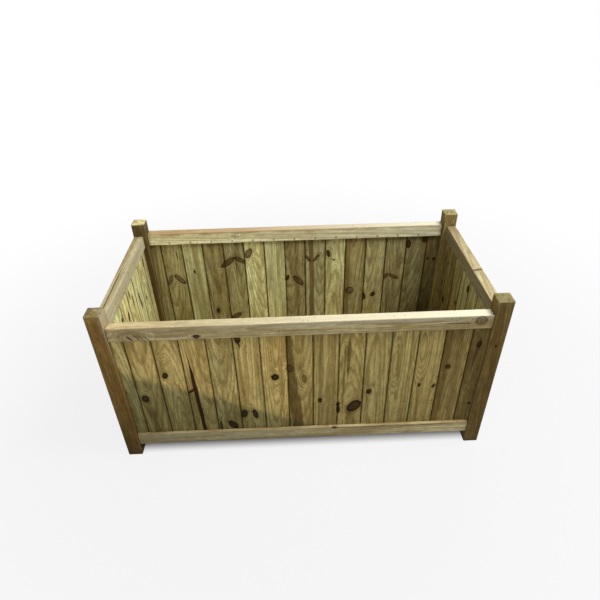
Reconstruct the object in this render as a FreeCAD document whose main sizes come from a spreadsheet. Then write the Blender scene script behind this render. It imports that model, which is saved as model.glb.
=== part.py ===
import FreeCAD
import Part
import Sketcher
import math
import os

# Rectangular softwood planter, in millimetres.
# X runs along the planter, Y from front to back, Z up. The origin is on the ground, under the middle.
# Four corner posts carry rails on tenons; the rails and posts are grooved for walls of upright
# tongue-and-groove boards; a slatted floor lies on two bearers behind the long bottom rails.

SIZES = (
    # the whole planter
    ("overall_length", 1200),
    ("overall_depth", 600),
    # corner posts
    ("post_width", 47),
    ("post_height", 590),
    ("post_cap_rise", 10),
    ("post_edge_round", 3),
    ("foot_clearance", 50),
    ("top_rail_drop", 46),
    # rails and their tenons
    ("rail_height", 47),
    ("rail_thickness", 33),
    ("rail_setback", 2),
    ("rail_edge_round", 2.5),
    ("rail_end_gap", 2),
    ("tenon_thickness", 14),
    ("tenon_length", 20),
    ("tenon_shoulder", 8),
    ("mortise_clearance", 0.2),
    # grooves that hold the boards
    ("rail_groove_depth", 18),
    ("post_groove_depth", 10),
    ("board_side_clearance", 0.25),
    ("board_end_clearance", 1.5),
    # wall boards
    ("board_thickness", 14),
    ("board_gap", 0.6),
    ("board_face_bevel", 2.6),
    ("board_back_bevel", 1.6),
    ("tongue_length", 7),
    ("tongue_thickness", 4.5),
    ("tongue_side_clearance", 0.25),
    ("tongue_end_clearance", 0.8),
    # square brads that pin each board into its top rail and each slat to its bearers
    ("brad_width", 1.8),
    ("brad_length", 22),
    ("brad_inset", 10),
    ("brad_clearance", 0.1),
    # floor
    ("bearer_height", 33),
    ("bearer_thickness", 22),
    ("bearer_end_clearance", 2),
    ("slat_thickness", 14),
    ("slat_gap", 6.8),
    ("slat_end_clearance", 2),
    # countersunk screws that hold the bearers to the rails
    ("screw_level", 12),
    ("screw_length", 40),
    ("screw_width", 4),
    ("screw_head_width", 8),
    ("screw_head_height", 2.6),
    ("screw_clearance", 0.15),
)

# Whole boards in a wall. A ripped board stands at each end; its share is how much of a board shows.
LONG_WHOLE_BOARDS = 13
SHORT_WHOLE_BOARDS = 5
FRONT_END_SHARES = (0.48, 0.61)
RIGHT_END_SHARES = (0.8, 0.65)
BACK_END_SHARES = (0.61, 0.48)
LEFT_END_SHARES = (0.48, 0.96)
SLAT_COUNT = 11
BEARER_SCREW_COUNT = 3

# Places and sizes that follow from the sheet, as expressions.
HALF_LENGTH = "sizes.overall_length / 2"
HALF_DEPTH = "sizes.overall_depth / 2"
LONG_SPAN = "(sizes.overall_length - 2 * sizes.post_width)"
SHORT_SPAN = "(sizes.overall_depth - 2 * sizes.post_width)"
HALF_POST = "sizes.post_width / 2"
RAIL_CENTRE = "(sizes.rail_setback + sizes.rail_thickness / 2)"
RAIL_INSIDE = "(sizes.rail_setback + sizes.rail_thickness)"
TOP_RAIL_UNDERSIDE = "(sizes.post_height - sizes.top_rail_drop - sizes.rail_height)"
BOTTOM_RAIL_TOP = "(sizes.foot_clearance + sizes.rail_height)"
GROOVE_FLOOR = f"({BOTTOM_RAIL_TOP} - sizes.rail_groove_depth)"
GROOVE_CEILING = f"({TOP_RAIL_UNDERSIDE} + sizes.rail_groove_depth)"
GROOVE_HALF_WIDTH = "(sizes.board_thickness / 2 + sizes.board_side_clearance)"
BOARD_LENGTH = f"({GROOVE_CEILING} - {GROOVE_FLOOR} - sizes.board_end_clearance)"
BOARD_OUTSIDE = f"({RAIL_CENTRE} - sizes.board_thickness / 2)"
EDGE_HOLD = "(sizes.post_groove_depth - sizes.board_end_clearance)"
BRAD_LEVEL = f"({TOP_RAIL_UNDERSIDE} + sizes.brad_inset)"
BEARER_TOP = f"({BOTTOM_RAIL_TOP} - sizes.slat_thickness)"
BEARER_UNDERSIDE = f"({BEARER_TOP} - sizes.bearer_height)"
FLOOR_SPAN = f"({LONG_SPAN} - 2 * sizes.slat_end_clearance)"
SLAT_WIDTH = f"(({FLOOR_SPAN} - {SLAT_COUNT - 1} * sizes.slat_gap) / {SLAT_COUNT})"
SLAT_PITCH = f"({SLAT_WIDTH} + sizes.slat_gap)"
BEARER_MIDDLE = f"({RAIL_INSIDE} + sizes.bearer_thickness / 2)"

UP = FreeCAD.Vector(0, 0, 1)
ALONG = FreeCAD.Vector(1, 0, 0)
INWARD = FreeCAD.Vector(0, 1, 0)
RIGHT_ANGLE = 90
HALF_TURN = 180

doc = FreeCAD.newDocument("planter")
sheet = doc.addObject("Spreadsheet::Sheet", "sizes")
for row, (alias, number) in enumerate(SIZES, start=1):
    sheet.set(f"A{row}", alias)
    sheet.set(f"B{row}", str(number))
    sheet.setAlias(f"B{row}", alias)
doc.recompute()

sub_parts = []


def value(expression):
    """The number that an expression over the sheet gives."""
    return float(sheet.evalExpression(expression))


def keep(piece, label):
    """Name a finished sub-part and list it for writing."""
    piece.Label = label
    sub_parts.append(piece)


def outline(body, name, role, loops, offset=None):
    """A sketch of closed loops of straight edges, each corner bound to a pair of expressions."""
    sketch = body.newObject("Sketcher::SketchObject", name)
    plane = next(item for item in body.Origin.OriginFeatures if item.Role == role)
    sketch.AttachmentSupport = [(plane, "")]
    sketch.MapMode = "FlatFace"
    if offset:
        sketch.setExpression("AttachmentOffset.Base.z", offset)
    for corners in loops:
        points = [FreeCAD.Vector(value(across), value(up), 0) for across, up in corners]
        first = sketch.GeometryCount
        count = len(points)
        for index in range(count):
            sketch.addGeometry(Part.LineSegment(points[index], points[(index + 1) % count]), False)
        for index in range(count):
            following = first + (index + 1) % count
            sketch.addConstraint(Sketcher.Constraint("Coincident", first + index, 2, following, 1))
        for index, (across, up) in enumerate(corners):
            for kind, expression in (("DistanceX", across), ("DistanceY", up)):
                rule = Sketcher.Constraint(kind, -1, 1, first + index, 1, value(expression))
                sketch.setExpression(f"Constraints[{sketch.addConstraint(rule)}]", expression)
    return sketch


def rectangle(left, right, low, high):
    """Corner expressions of an upright rectangle."""
    return [(left, low), (right, low), (right, high), (left, high)]


def pad(body, name, sketch, length, symmetric=False):
    """Solid made by drawing a sketch out."""
    feature = body.newObject("PartDesign::Pad", name)
    feature.Profile = sketch
    feature.SideType = "Symmetric" if symmetric else "One side"
    feature.setExpression("Length", length)
    return feature


def pocket(body, name, sketch, depth=None, reverse=False):
    """Cut made by driving a sketch into the body, to a depth or right through both ways."""
    feature = body.newObject("PartDesign::Pocket", name)
    feature.Profile = sketch
    feature.Reversed = reverse
    if depth:
        feature.setExpression("Length", depth)
    else:
        feature.Type = "ThroughAll"
        feature.SideType = "Symmetric"
    return feature


def round_edges(body, name, base, radius, wanted):
    """Round the edges of a feature that a test picks out."""
    doc.recompute()
    edges = [f"Edge{index}" for index, edge in enumerate(base.Shape.Edges, start=1) if wanted(edge)]
    feature = body.newObject("PartDesign::Fillet", name)
    feature.Base = (base, edges)
    feature.setExpression("Radius", radius)
    return feature


def runs(edge, direction):
    """Whether a straight edge runs along a direction."""
    return math.isclose(abs(edge.tangentAt(edge.FirstParameter).dot(direction)), 1)


class Wall:
    """One side of the planter: which way it faces, its clear span and its board layout."""

    def __init__(self, name, turns, span, reach, boards, end_shares):
        self.name = name
        self.angle = turns * RIGHT_ANGLE
        self.span = span
        self.reach = reach
        turn = FreeCAD.Rotation(UP, self.angle)
        self.along = turn.multVec(ALONG)
        self.inward = turn.multVec(INWARD)
        self.boards = boards
        self.cover = f"({span} / {boards + sum(end_shares)})"
        self.first = f"({end_shares[0]} * {self.cover})"

    def joint(self, number):
        """Distance from the near post to the joint on the near side of a board."""
        return f"({self.first} + {number} * {self.cover})"

    def board_middle(self, number):
        """Distance from the near post to the middle of what shows of a board."""
        if number < 0:
            return f"({self.first} / 2)"
        if number == self.boards:
            return f"(({self.joint(number)} + {self.span}) / 2)"
        return f"({self.joint(number)} + {self.cover} / 2)"

    def place(self, piece, along, depth, level, roll=0):
        """Set a piece along this wall, in from the posts' outer faces, and up from the ground."""
        turn = FreeCAD.Rotation(UP, self.angle).multiply(FreeCAD.Rotation(ALONG, roll))
        piece.Placement = FreeCAD.Placement(FreeCAD.Vector(0, 0, 0), turn)
        from_middle = f"({along} - {self.span} / 2)"
        from_axis = f"({depth} - {self.reach})"
        for axis in ("x", "y"):
            parts = [f"{round(getattr(self.along, axis))} * {from_middle}",
                     f"{round(getattr(self.inward, axis))} * {from_axis}"]
            piece.setExpression(f"Placement.Base.{axis}", " + ".join(parts))
        piece.setExpression("Placement.Base.z", level)


WALLS = (
    Wall("front", 0, LONG_SPAN, HALF_DEPTH, LONG_WHOLE_BOARDS, FRONT_END_SHARES),
    Wall("right", 1, SHORT_SPAN, HALF_LENGTH, SHORT_WHOLE_BOARDS, RIGHT_END_SHARES),
    Wall("back", 2, LONG_SPAN, HALF_DEPTH, LONG_WHOLE_BOARDS, BACK_END_SHARES),
    Wall("left", 3, SHORT_SPAN, HALF_LENGTH, SHORT_WHOLE_BOARDS, LEFT_END_SHARES),
)
FRONT, BACK = WALLS[0], WALLS[2]


def box(name, length, width, height):
    """A block whose three sizes are expressions."""
    block = doc.addObject("Part::Box", name)
    block.setExpression("Length", length)
    block.setExpression("Width", width)
    block.setExpression("Height", height)
    return block


def drill(base, tools, name):
    """A piece with its fastener holes cut."""
    holes = doc.addObject("Part::Compound", f"{name}_holes")
    holes.Links = tools
    piece = doc.addObject("Part::Cut", name)
    piece.Base = base
    piece.Tool = holes
    return piece


def group(pieces, label):
    """Separate solids that share one node."""
    together = doc.addObject("Part::Compound", label)
    together.Links = pieces
    keep(together, label)


def post(label, turns):
    """Corner post: bevelled top, and mortises and a panel groove in the two inner faces."""
    body = doc.addObject("PartDesign::Body", f"{label}_body")
    half = HALF_POST
    square = outline(body, f"{label}_section", "XY_Plane", [rectangle(f"-{half}", half, f"-{half}", half)])
    shaft = pad(body, f"{label}_shaft", square, "sizes.post_height + sizes.post_cap_rise")
    round_edges(body, f"{label}_eased", shaft, "sizes.post_edge_round", lambda edge: runs(edge, UP))

    # The four bevels of the top meet in a point above the middle of the post.
    shoulder = "sizes.post_height"
    peak = "sizes.post_height + sizes.post_cap_rise"
    waste = [[(f"-{half}", shoulder), ("0", peak), (f"-{half}", peak)],
             [(half, shoulder), (half, peak), ("0", peak)]]
    for role in ("XZ_Plane", "YZ_Plane"):
        pocket(body, f"{label}_bevel_{role[:2]}", outline(body, f"{label}_slope_{role[:2]}", role, waste))

    # The rails lie nearer the outer faces than the middle of the post.
    middle = f"({RAIL_CENTRE} - {half})"
    cheek = "(sizes.tenon_thickness / 2 + sizes.mortise_clearance)"
    top_rail_top = "(sizes.post_height - sizes.top_rail_drop)"
    mortise_levels = (
        ("sizes.foot_clearance + sizes.tenon_shoulder - sizes.mortise_clearance",
         f"{GROOVE_FLOOR} + sizes.mortise_clearance"),
        (f"{GROOVE_CEILING} - sizes.mortise_clearance",
         f"{top_rail_top} - sizes.tenon_shoulder + sizes.mortise_clearance"))
    for role, offset, reverse in (("YZ_Plane", half, False), ("XZ_Plane", f"-{half}", True)):
        mortises = [rectangle(f"{middle} - {cheek}", f"{middle} + {cheek}", low, high)
                    for low, high in mortise_levels]
        groove = [rectangle(f"{middle} - {GROOVE_HALF_WIDTH}", f"{middle} + {GROOVE_HALF_WIDTH}",
                            GROOVE_FLOOR, GROOVE_CEILING)]
        face = role[:2]
        pocket(body, f"{label}_mortises_{face}",
               outline(body, f"{label}_mortise_ends_{face}", role, mortises, offset),
               "sizes.tenon_length + sizes.mortise_clearance", reverse)
        pocket(body, f"{label}_groove_{face}",
               outline(body, f"{label}_groove_edges_{face}", role, groove, offset),
               "sizes.post_groove_depth", reverse)

    turn = FreeCAD.Rotation(UP, turns * RIGHT_ANGLE)
    body.Placement = FreeCAD.Placement(FreeCAD.Vector(0, 0, 0), turn)
    corner = turn.multVec(FreeCAD.Vector(-1, -1, 0))
    body.setExpression("Placement.Base.x", f"{round(corner.x)} * ({HALF_LENGTH} - {half})")
    body.setExpression("Placement.Base.y", f"{round(corner.y)} * ({HALF_DEPTH} - {half})")
    keep(body, label)


def rail(label, span):
    """Rail with eased edges, a board groove along its underside and a tenon at each end."""
    body = doc.addObject("PartDesign::Body", f"{label}_body")
    side = "sizes.rail_thickness / 2"
    edge = "sizes.rail_height / 2"
    groove_top = f"(sizes.rail_groove_depth - {edge})"
    section = [(f"-{side}", f"-{edge}"), (f"-{GROOVE_HALF_WIDTH}", f"-{edge}"),
               (f"-{GROOVE_HALF_WIDTH}", groove_top), (GROOVE_HALF_WIDTH, groove_top),
               (GROOVE_HALF_WIDTH, f"-{edge}"), (side, f"-{edge}"),
               (side, edge), (f"-{side}", edge)]
    shaft = pad(body, f"{label}_shaft", outline(body, f"{label}_section", "YZ_Plane", [section]),
                f"{span} - 2 * sizes.rail_end_gap", symmetric=True)
    corner = value("sizes.rail_thickness") / 2

    def outer_arris(candidate):
        return runs(candidate, ALONG) and math.isclose(abs(candidate.CenterOfMass.y), corner)

    round_edges(body, f"{label}_eased", shaft, "sizes.rail_edge_round", outer_arris)
    cheek = "sizes.tenon_thickness / 2"
    tenon = rectangle(f"-{cheek}", cheek, groove_top, f"{edge} - sizes.tenon_shoulder")
    pad(body, f"{label}_tenons", outline(body, f"{label}_tenon_ends", "YZ_Plane", [tenon]),
        f"{span} + 2 * sizes.tenon_length", symmetric=True)
    return body


def board(label, width, tongue=True, groove=True):
    """Upright wall board, drawn from its outer face inward; ripped edges are left square."""
    thick = "sizes.board_thickness"
    face = "sizes.board_face_bevel"
    back = "sizes.board_back_bevel"
    outer_cheek = f"({thick} - sizes.tongue_thickness) / 2"
    inner_cheek = f"({thick} + sizes.tongue_thickness) / 2"
    play = "sizes.tongue_side_clearance"
    slot = "(sizes.tongue_length + sizes.tongue_end_clearance - sizes.board_gap)"
    far = [(width, "0"), (width, thick)]
    if tongue:
        tip = f"{width} + sizes.tongue_length"
        far = [(f"{width} - {face}", "0"), (width, face), (width, outer_cheek), (tip, outer_cheek),
               (tip, inner_cheek), (width, inner_cheek), (width, f"{thick} - {back}"),
               (f"{width} - {back}", thick)]
    near = [("0", thick), ("0", "0")]
    if groove:
        near = [(back, thick), ("0", f"{thick} - {back}"), ("0", f"{inner_cheek} + {play}"),
                (slot, f"{inner_cheek} + {play}"), (slot, f"{outer_cheek} - {play}"),
                ("0", f"{outer_cheek} - {play}"), ("0", face), (face, "0")]
    body = doc.addObject("PartDesign::Body", f"{label}_body")
    section = outline(body, f"{label}_section", "XY_Plane", [far + near])
    pad(body, f"{label}_length", section, BOARD_LENGTH)
    return body


def with_hole(make, name, clearance):
    """A fastener at its own size, and the hole that takes it."""
    return make(f"{name}_shank", "0"), make(f"{name}_hole", clearance)


def wall_brad(wall, name, along):
    """A brad driven outward through a top rail's inner cheek into a board, and its hole."""
    def make(label, grow):
        across = f"(sizes.brad_width + 2 * {grow})"
        length = f"(sizes.brad_length + {grow})"
        pin = box(label, across, length, across)
        wall.place(pin, f"({along} - {across} / 2)", f"({RAIL_INSIDE} - {length})",
                   f"({BRAD_LEVEL} - {across} / 2)")
        return pin
    return with_hole(make, name, "sizes.brad_clearance")


def floor_brad(wall, name, along):
    """A brad driven down through a slat into a bearer, and its hole."""
    def make(label, grow):
        across = f"(sizes.brad_width + 2 * {grow})"
        length = f"(sizes.brad_length + {grow})"
        pin = box(label, across, across, length)
        wall.place(pin, f"({along} - {across} / 2)", f"({BEARER_MIDDLE} - {across} / 2)",
                   f"({BOTTOM_RAIL_TOP} - {length})")
        return pin
    return with_hole(make, name, "sizes.brad_clearance")


def bearer_screw(wall, name, along):
    """A countersunk screw driven outward through a bearer into its rail, and its hole."""
    def make(label, grow):
        shank = doc.addObject("Part::Cylinder", f"{label}_round")
        shank.setExpression("Radius", f"sizes.screw_width / 2 + {grow}")
        shank.setExpression("Height", "sizes.screw_length")
        head = doc.addObject("Part::Cone", f"{label}_head")
        head.setExpression("Radius1", f"sizes.screw_width / 2 + {grow}")
        head.setExpression("Radius2", f"sizes.screw_head_width / 2 + {grow}")
        head.setExpression("Height", "sizes.screw_head_height")
        head.setExpression("Placement.Base.z", "sizes.screw_length - sizes.screw_head_height")
        whole = doc.addObject("Part::Fuse", label)
        whole.Base = shank
        whole.Tool = head
        tip = f"({RAIL_INSIDE} + sizes.bearer_thickness - sizes.screw_length)"
        wall.place(whole, along, tip, f"({BEARER_UNDERSIDE} + sizes.screw_level)", roll=-RIGHT_ANGLE)
        return whole
    return with_hole(make, name, "sizes.screw_clearance")


def wall_boards(wall, brads):
    """A wall's boards, each pinned into the top rail; returns that rail's brad holes."""
    rail_holes = []
    for number in range(-1, wall.boards + 1):
        label = f"{wall.name}_board_{number + 2:02d}"
        start = wall.joint(number)
        if number < 0:
            start = f"(-{EDGE_HOLD})"
            body = board(label, f"({wall.first} - sizes.board_gap + {EDGE_HOLD})", groove=False)
        elif number < wall.boards:
            body = board(label, f"({wall.cover} - sizes.board_gap)")
        else:
            body = board(label, f"({wall.span} - {start} + {EDGE_HOLD})", tongue=False)
        wall.place(body, start, BOARD_OUTSIDE, GROOVE_FLOOR)
        pin, hole = wall_brad(wall, label, wall.board_middle(number))
        brads.append(pin)
        rail_holes.append(hole)
        keep(drill(body, [hole], label), label)
    return rail_holes


def wall_rails(wall, brad_holes, screw_holes):
    """A wall's top rail, and its bottom rail, which is the same rail the other way up."""
    half_rail = "sizes.rail_height / 2"
    levels = (("top", f"({TOP_RAIL_UNDERSIDE} + {half_rail})", 0, brad_holes),
              ("bottom", f"({BOTTOM_RAIL_TOP} - {half_rail})", HALF_TURN, screw_holes))
    for rail_name, level, roll, holes in levels:
        label = f"{wall.name}_{rail_name}_rail"
        body = rail(label, wall.span)
        wall.place(body, f"({wall.span} / 2)", RAIL_CENTRE, level, roll)
        keep(drill(body, holes, label) if holes else body, label)


def slats(brads):
    """Floor slats with drainage gaps, pinned at both ends; returns the bearers' brad holes by wall."""
    length = f"(sizes.overall_depth - 2 * {RAIL_INSIDE} - 2 * sizes.slat_end_clearance)"
    bearer_holes = {"front": [], "back": []}
    laid = []
    for number in range(SLAT_COUNT):
        name = f"slat_{number + 1:02d}"
        start = f"(sizes.slat_end_clearance + {number} * {SLAT_PITCH})"
        middle = f"({start} + {SLAT_WIDTH} / 2)"
        stock = box(f"{name}_stock", SLAT_WIDTH, length, "sizes.slat_thickness")
        FRONT.place(stock, start, f"({RAIL_INSIDE} + sizes.slat_end_clearance)", BEARER_TOP)
        holes = []
        for wall, along in ((FRONT, middle), (BACK, f"({LONG_SPAN} - {middle})")):
            pin, hole = floor_brad(wall, f"{wall.name}_{name}", along)
            brads.append(pin)
            holes.append(hole)
            bearer_holes[wall.name].append(hole)
        laid.append(drill(stock, holes, name))
    group(laid, "floor_slats")
    return bearer_holes


def bearers(bearer_holes):
    """The floor's bearers, screwed to the long bottom rails; returns the rails' screw holes by wall."""
    screws = []
    fixed = []
    rail_holes = {"front": [], "back": []}
    length = f"({LONG_SPAN} - 2 * sizes.bearer_end_clearance)"
    for wall in (FRONT, BACK):
        for number in range(BEARER_SCREW_COUNT):
            along = f"({LONG_SPAN} * {2 * number + 1} / {2 * BEARER_SCREW_COUNT})"
            pin, hole = bearer_screw(wall, f"{wall.name}_screw_{number + 1}", along)
            screws.append(pin)
            rail_holes[wall.name].append(hole)
        stock = box(f"{wall.name}_bearer_stock", length, "sizes.bearer_thickness", "sizes.bearer_height")
        wall.place(stock, "sizes.bearer_end_clearance", RAIL_INSIDE, BEARER_UNDERSIDE)
        holes = bearer_holes[wall.name] + rail_holes[wall.name]
        fixed.append(drill(stock, holes, f"{wall.name}_bearer"))
    group(fixed, "floor_bearers")
    group(screws, "bearer_screws")
    return rail_holes


for turns, corner_name in enumerate(("front_left", "front_right", "back_right", "back_left")):
    post(f"post_{corner_name}", turns)
brads = []
screw_holes = bearers(slats(brads))
for wall in WALLS:
    wall_rails(wall, wall_boards(wall, brads), screw_holes.get(wall.name, []))
group(brads, "steel_brads")

doc.recompute()
for item in doc.Objects:
    if "Invalid" in item.State or "Error" in item.State:
        raise RuntimeError(f"{item.Label} did not build: {item.State}")
for piece in sub_parts:
    if piece.Shape.isNull() or not piece.Shape.isValid():
        raise RuntimeError(f"{piece.Label} has no valid shape")

os.makedirs("parts", exist_ok=True)
for piece in sub_parts:
    piece.Shape.exportStep(f"parts/{piece.Label}.step")
whole = Part.makeCompound([piece.Shape for piece in sub_parts])
solids = sum(len(piece.Shape.Solids) for piece in sub_parts)
print(len(sub_parts), "sub-parts,", solids, "solids,", whole.BoundBox)
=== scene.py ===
import math
import random
from collections import namedtuple

import bmesh
import bpy
from mathutils import Color, Matrix, Vector, noise


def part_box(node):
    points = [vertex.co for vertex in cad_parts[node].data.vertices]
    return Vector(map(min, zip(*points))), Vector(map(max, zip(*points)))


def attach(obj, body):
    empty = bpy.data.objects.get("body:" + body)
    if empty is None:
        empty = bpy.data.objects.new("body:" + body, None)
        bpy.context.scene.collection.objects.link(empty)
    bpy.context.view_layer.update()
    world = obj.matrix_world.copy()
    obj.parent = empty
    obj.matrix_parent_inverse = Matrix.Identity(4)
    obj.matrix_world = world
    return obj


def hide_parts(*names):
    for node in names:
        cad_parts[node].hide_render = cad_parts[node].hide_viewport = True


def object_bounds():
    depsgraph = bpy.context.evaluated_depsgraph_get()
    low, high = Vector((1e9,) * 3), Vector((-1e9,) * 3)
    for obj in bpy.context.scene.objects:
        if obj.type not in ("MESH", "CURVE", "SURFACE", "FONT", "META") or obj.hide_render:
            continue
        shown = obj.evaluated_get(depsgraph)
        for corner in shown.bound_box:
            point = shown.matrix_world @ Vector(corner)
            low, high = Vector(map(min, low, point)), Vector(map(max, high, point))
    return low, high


# The looks of a long timber planter in pressure-treated pine. Every length is in metres.
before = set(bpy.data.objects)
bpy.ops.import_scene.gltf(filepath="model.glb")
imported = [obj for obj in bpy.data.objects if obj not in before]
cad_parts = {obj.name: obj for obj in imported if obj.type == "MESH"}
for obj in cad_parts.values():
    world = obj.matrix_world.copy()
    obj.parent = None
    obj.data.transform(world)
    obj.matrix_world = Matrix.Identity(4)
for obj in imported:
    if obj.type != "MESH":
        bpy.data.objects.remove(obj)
packed_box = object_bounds()
LOW_CORNER, HIGH_CORNER = (Vector(corner) for corner in packed_box)

X, Y, Z = 0, 1, 2
BODY = "root"
FULL_BYTE = 255
HALF_WAY = 0.5
SMALLEST = 0.000001

# How a planed stick differs from its drawing.
WELD = 0.000001
FLAT_ANGLE = math.radians(0.5)
SHARP_ANGLE = math.radians(40)
SHORTEST_ARRIS = 0.03
LEAST_ARRIS_ANGLE = math.radians(30)
ARRIS_STEPS = 2
ARRIS_PROFILE = 0.5
SLICE = 0.036
EDGE_BAND = 0.0006
SURFACE = 0.0001
WAVE_LENGTH = 0.16
WAVE_HEIGHT = 0.00022
SLANT_LIMIT = 0.985
GROOVE_DEPTH = 0.0011
GROOVE_LIP_SHARE = 0.40
END_LIMIT = 0.7

# Ways that a stick lies: the axis of its grain, the axis across its face, the axis through it, and which
# way along that last axis its outer face looks.
Lie = namedtuple("Lie", "run across through outward")
WALLS = ("front", "right", "back", "left")
BOARD_LIES = {
    "front": Lie(Z, X, Y, -1),
    "right": Lie(Z, Y, X, 1),
    "back": Lie(Z, X, Y, 1),
    "left": Lie(Z, Y, X, -1),
}
RAIL_LIES = {
    "front": Lie(X, Z, Y, -1),
    "right": Lie(Y, Z, X, 1),
    "back": Lie(X, Z, Y, 1),
    "left": Lie(Y, Z, X, -1),
}
POST_LIES = {
    "front_left": Lie(Z, X, Y, -1),
    "front_right": Lie(Z, X, Y, -1),
    "back_right": Lie(Z, X, Y, 1),
    "back_left": Lie(Z, X, Y, 1),
}
SLAT_LIE = Lie(Y, X, Z, 1)
BEARER_LIE = Lie(X, Z, Y, 1)

# A stick's figure: where the heart of its tree runs behind the face, how the heart leans along the stick, its
# tone, and its knots and streaks. A tone: how light, green and brown the wood is, how much lighter it grows
# from its low end to its high end, and how light its sawn ends are.
Tone = namedtuple("Tone", "light green brown fade end_light", defaults=(0, 1))
Figure = namedtuple("Figure", "heart lean tone knots streaks")
KNOT_SLOTS = 4
STREAK_SLOTS = 6
# A knot: its place across the wall or round the stick, its place along the grain, half width, half height,
# lean in degrees, and how dark it is. A streak: its two ends, half width, and how dark it is. A negative one
# is green if it is narrow, and pale if it is wide, less and less towards its second end. The pale is
# bleaching on some sticks, and a painted sheen and painted light on the front top rail and the front left
# post's lit side.
Knot = namedtuple("Knot", "across along half_width half_height lean dark")
Streak = namedtuple("Streak", "across along to_across to_along half_width dark")

FRONT_KNOTS = (
    Knot(-0.496, 0.255, 0.011, 0.014, 0, 0.85),
    Knot(-0.418, 0.351, 0.008, 0.012, -8, 0.95),
    Knot(-0.414, 0.380, 0.012, 0.030, 0, 0.06),
    Knot(-0.346, 0.282, 0.0045, 0.015, -50, 0.95),
    Knot(-0.232, 0.118, 0.012, 0.021, 35, 0.9),
    Knot(-0.272, 0.116, 0.004, 0.022, 0, 0.8),
    Knot(-0.186, 0.484, 0.009, 0.015, 0, 0.9),
    Knot(-0.191, 0.169, 0.010, 0.017, -10, 0.9),
    Knot(-0.156, 0.165, 0.008, 0.021, 10, 0.85),
    Knot(-0.084, 0.327, 0.011, 0.012, 0, 1.0),
    Knot(-0.038, 0.361, 0.011, 0.015, 0, 0.55),
    Knot(0.006, 0.315, 0.007, 0.016, 0, 0.45),
    Knot(0.135, 0.426, 0.006, 0.016, 0, 0.3),
    Knot(0.284, 0.353, 0.011, 0.050, 0, 0.06),
    Knot(0.361, 0.420, 0.012, 0.060, 0, 0.06),
    Knot(0.517, 0.356, 0.010, 0.050, 0, 0.1),
    Knot(0.055, 0.217, 0.006, 0.010, 0, 0.85),
    Knot(0.166, 0.185, 0.018, 0.029, -34, 0.9),
    Knot(0.113, 0.196, 0.006, 0.009, 0, 1.0),
    Knot(0.114, 0.172, 0.006, 0.017, 0, 1.0),
    Knot(0.210, 0.249, 0.008, 0.010, 0, 1.0),
    Knot(0.369, 0.270, 0.004, 0.008, 0, 0.9),
    Knot(0.416, 0.263, 0.005, 0.009, -20, 0.9),
    Knot(0.450, 0.344, 0.008, 0.009, 0, 0.75),
    Knot(0.531, 0.430, 0.007, 0.013, 0, 0.85),
    Knot(0.545, 0.177, 0.005, 0.006, 0, 1.0),
)
FRONT_STREAKS = (
    Streak(-0.494, 0.250, -0.482, 0.080, 0.0130, 0.60),
    Streak(-0.341, 0.446, -0.3175, -0.130, 0.0066, 1.0),
    Streak(-0.254, 0.425, -0.256, 0.350, 0.0080, -0.4),
    Streak(-0.186, 0.484, -0.182, 0.445, 0.0030, 0.9),
    Streak(-0.052, 0.530, -0.012, 0.060, 0.0190, 0.92),
    Streak(0.057, 0.510, 0.056, 0.085, 0.0090, 0.42),
    Streak(0.143, 0.505, 0.141, 0.290, 0.0050, 0.55),
    Streak(0.131, 0.500, 0.128, 0.110, 0.0030, 0.40),
    Streak(0.150, 0.190, 0.160, 0.080, 0.0170, 0.55),
    Streak(0.437, 0.510, 0.436, 0.085, 0.0120, 0.40),
    Streak(0.534, 0.470, 0.522, 0.320, 0.0056, 0.60),
)
BACK_KNOTS = (
    Knot(-0.502, 0.333, 0.007, 0.024, -22, 0.58),
    Knot(-0.464, 0.336, 0.010, 0.027, 42, 0.58),
    Knot(-0.402, 0.370, 0.004, 0.007, 0, 0.9),
    Knot(-0.330, 0.176, 0.007, 0.013, -8, 0.9),
    Knot(-0.268, 0.406, 0.012, 0.032, -52, 0.66),
    Knot(-0.219, 0.416, 0.009, 0.025, 56, 0.66),
    Knot(-0.257, 0.146, 0.010, 0.024, -60, 0.68),
    Knot(-0.184, 0.444, 0.011, 0.022, -24, 0.66),
    Knot(-0.038, 0.326, 0.007, 0.012, -25, 0.9),
    Knot(0.006, 0.311, 0.012, 0.027, 40, 0.66),
    Knot(0.044, 0.413, 0.006, 0.018, 38, 0.70),
    Knot(0.077, 0.412, 0.006, 0.018, -38, 0.70),
    Knot(0.125, 0.431, 0.007, 0.016, 14, 0.9),
    Knot(0.147, 0.403, 0.004, 0.004, 0, 0.9),
    Knot(0.213, 0.254, 0.015, 0.017, 0, 0.60),
    Knot(0.274, 0.223, 0.007, 0.017, 8, 0.9),
    Knot(0.311, 0.231, 0.008, 0.012, -15, 0.9),
    Knot(0.358, 0.318, 0.007, 0.014, -20, 0.68),
    Knot(0.388, 0.315, 0.008, 0.021, 58, 0.64),
    Knot(0.434, 0.462, 0.010, 0.017, 8, 0.95),
    Knot(0.496, 0.482, 0.010, 0.016, 0, 0.95),
    Knot(0.517, 0.394, 0.005, 0.006, 0, 0.9),
    Knot(0.543, 0.390, 0.006, 0.007, 0, 0.9),
)
BACK_STREAKS = (
    Streak(-0.460, 0.468, -0.458, 0.420, 0.0022, 0.9),
    Streak(-0.236, 0.480, -0.235, 0.310, 0.0014, 0.95),
    Streak(-0.330, 0.500, -0.332, 0.085, 0.0110, 0.30),
    Streak(0.058, 0.540, 0.060, 0.040, 0.0098, 0.90),
    Streak(0.000, 0.505, 0.004, 0.085, 0.0080, 0.28),
    Streak(0.191, 0.560, 0.196, 0.030, 0.0190, 0.66),
    Streak(0.372, 0.240, 0.371, 0.085, 0.0018, 0.9),
    Streak(0.520, 0.505, 0.516, 0.085, 0.0120, 0.30),
)
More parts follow.
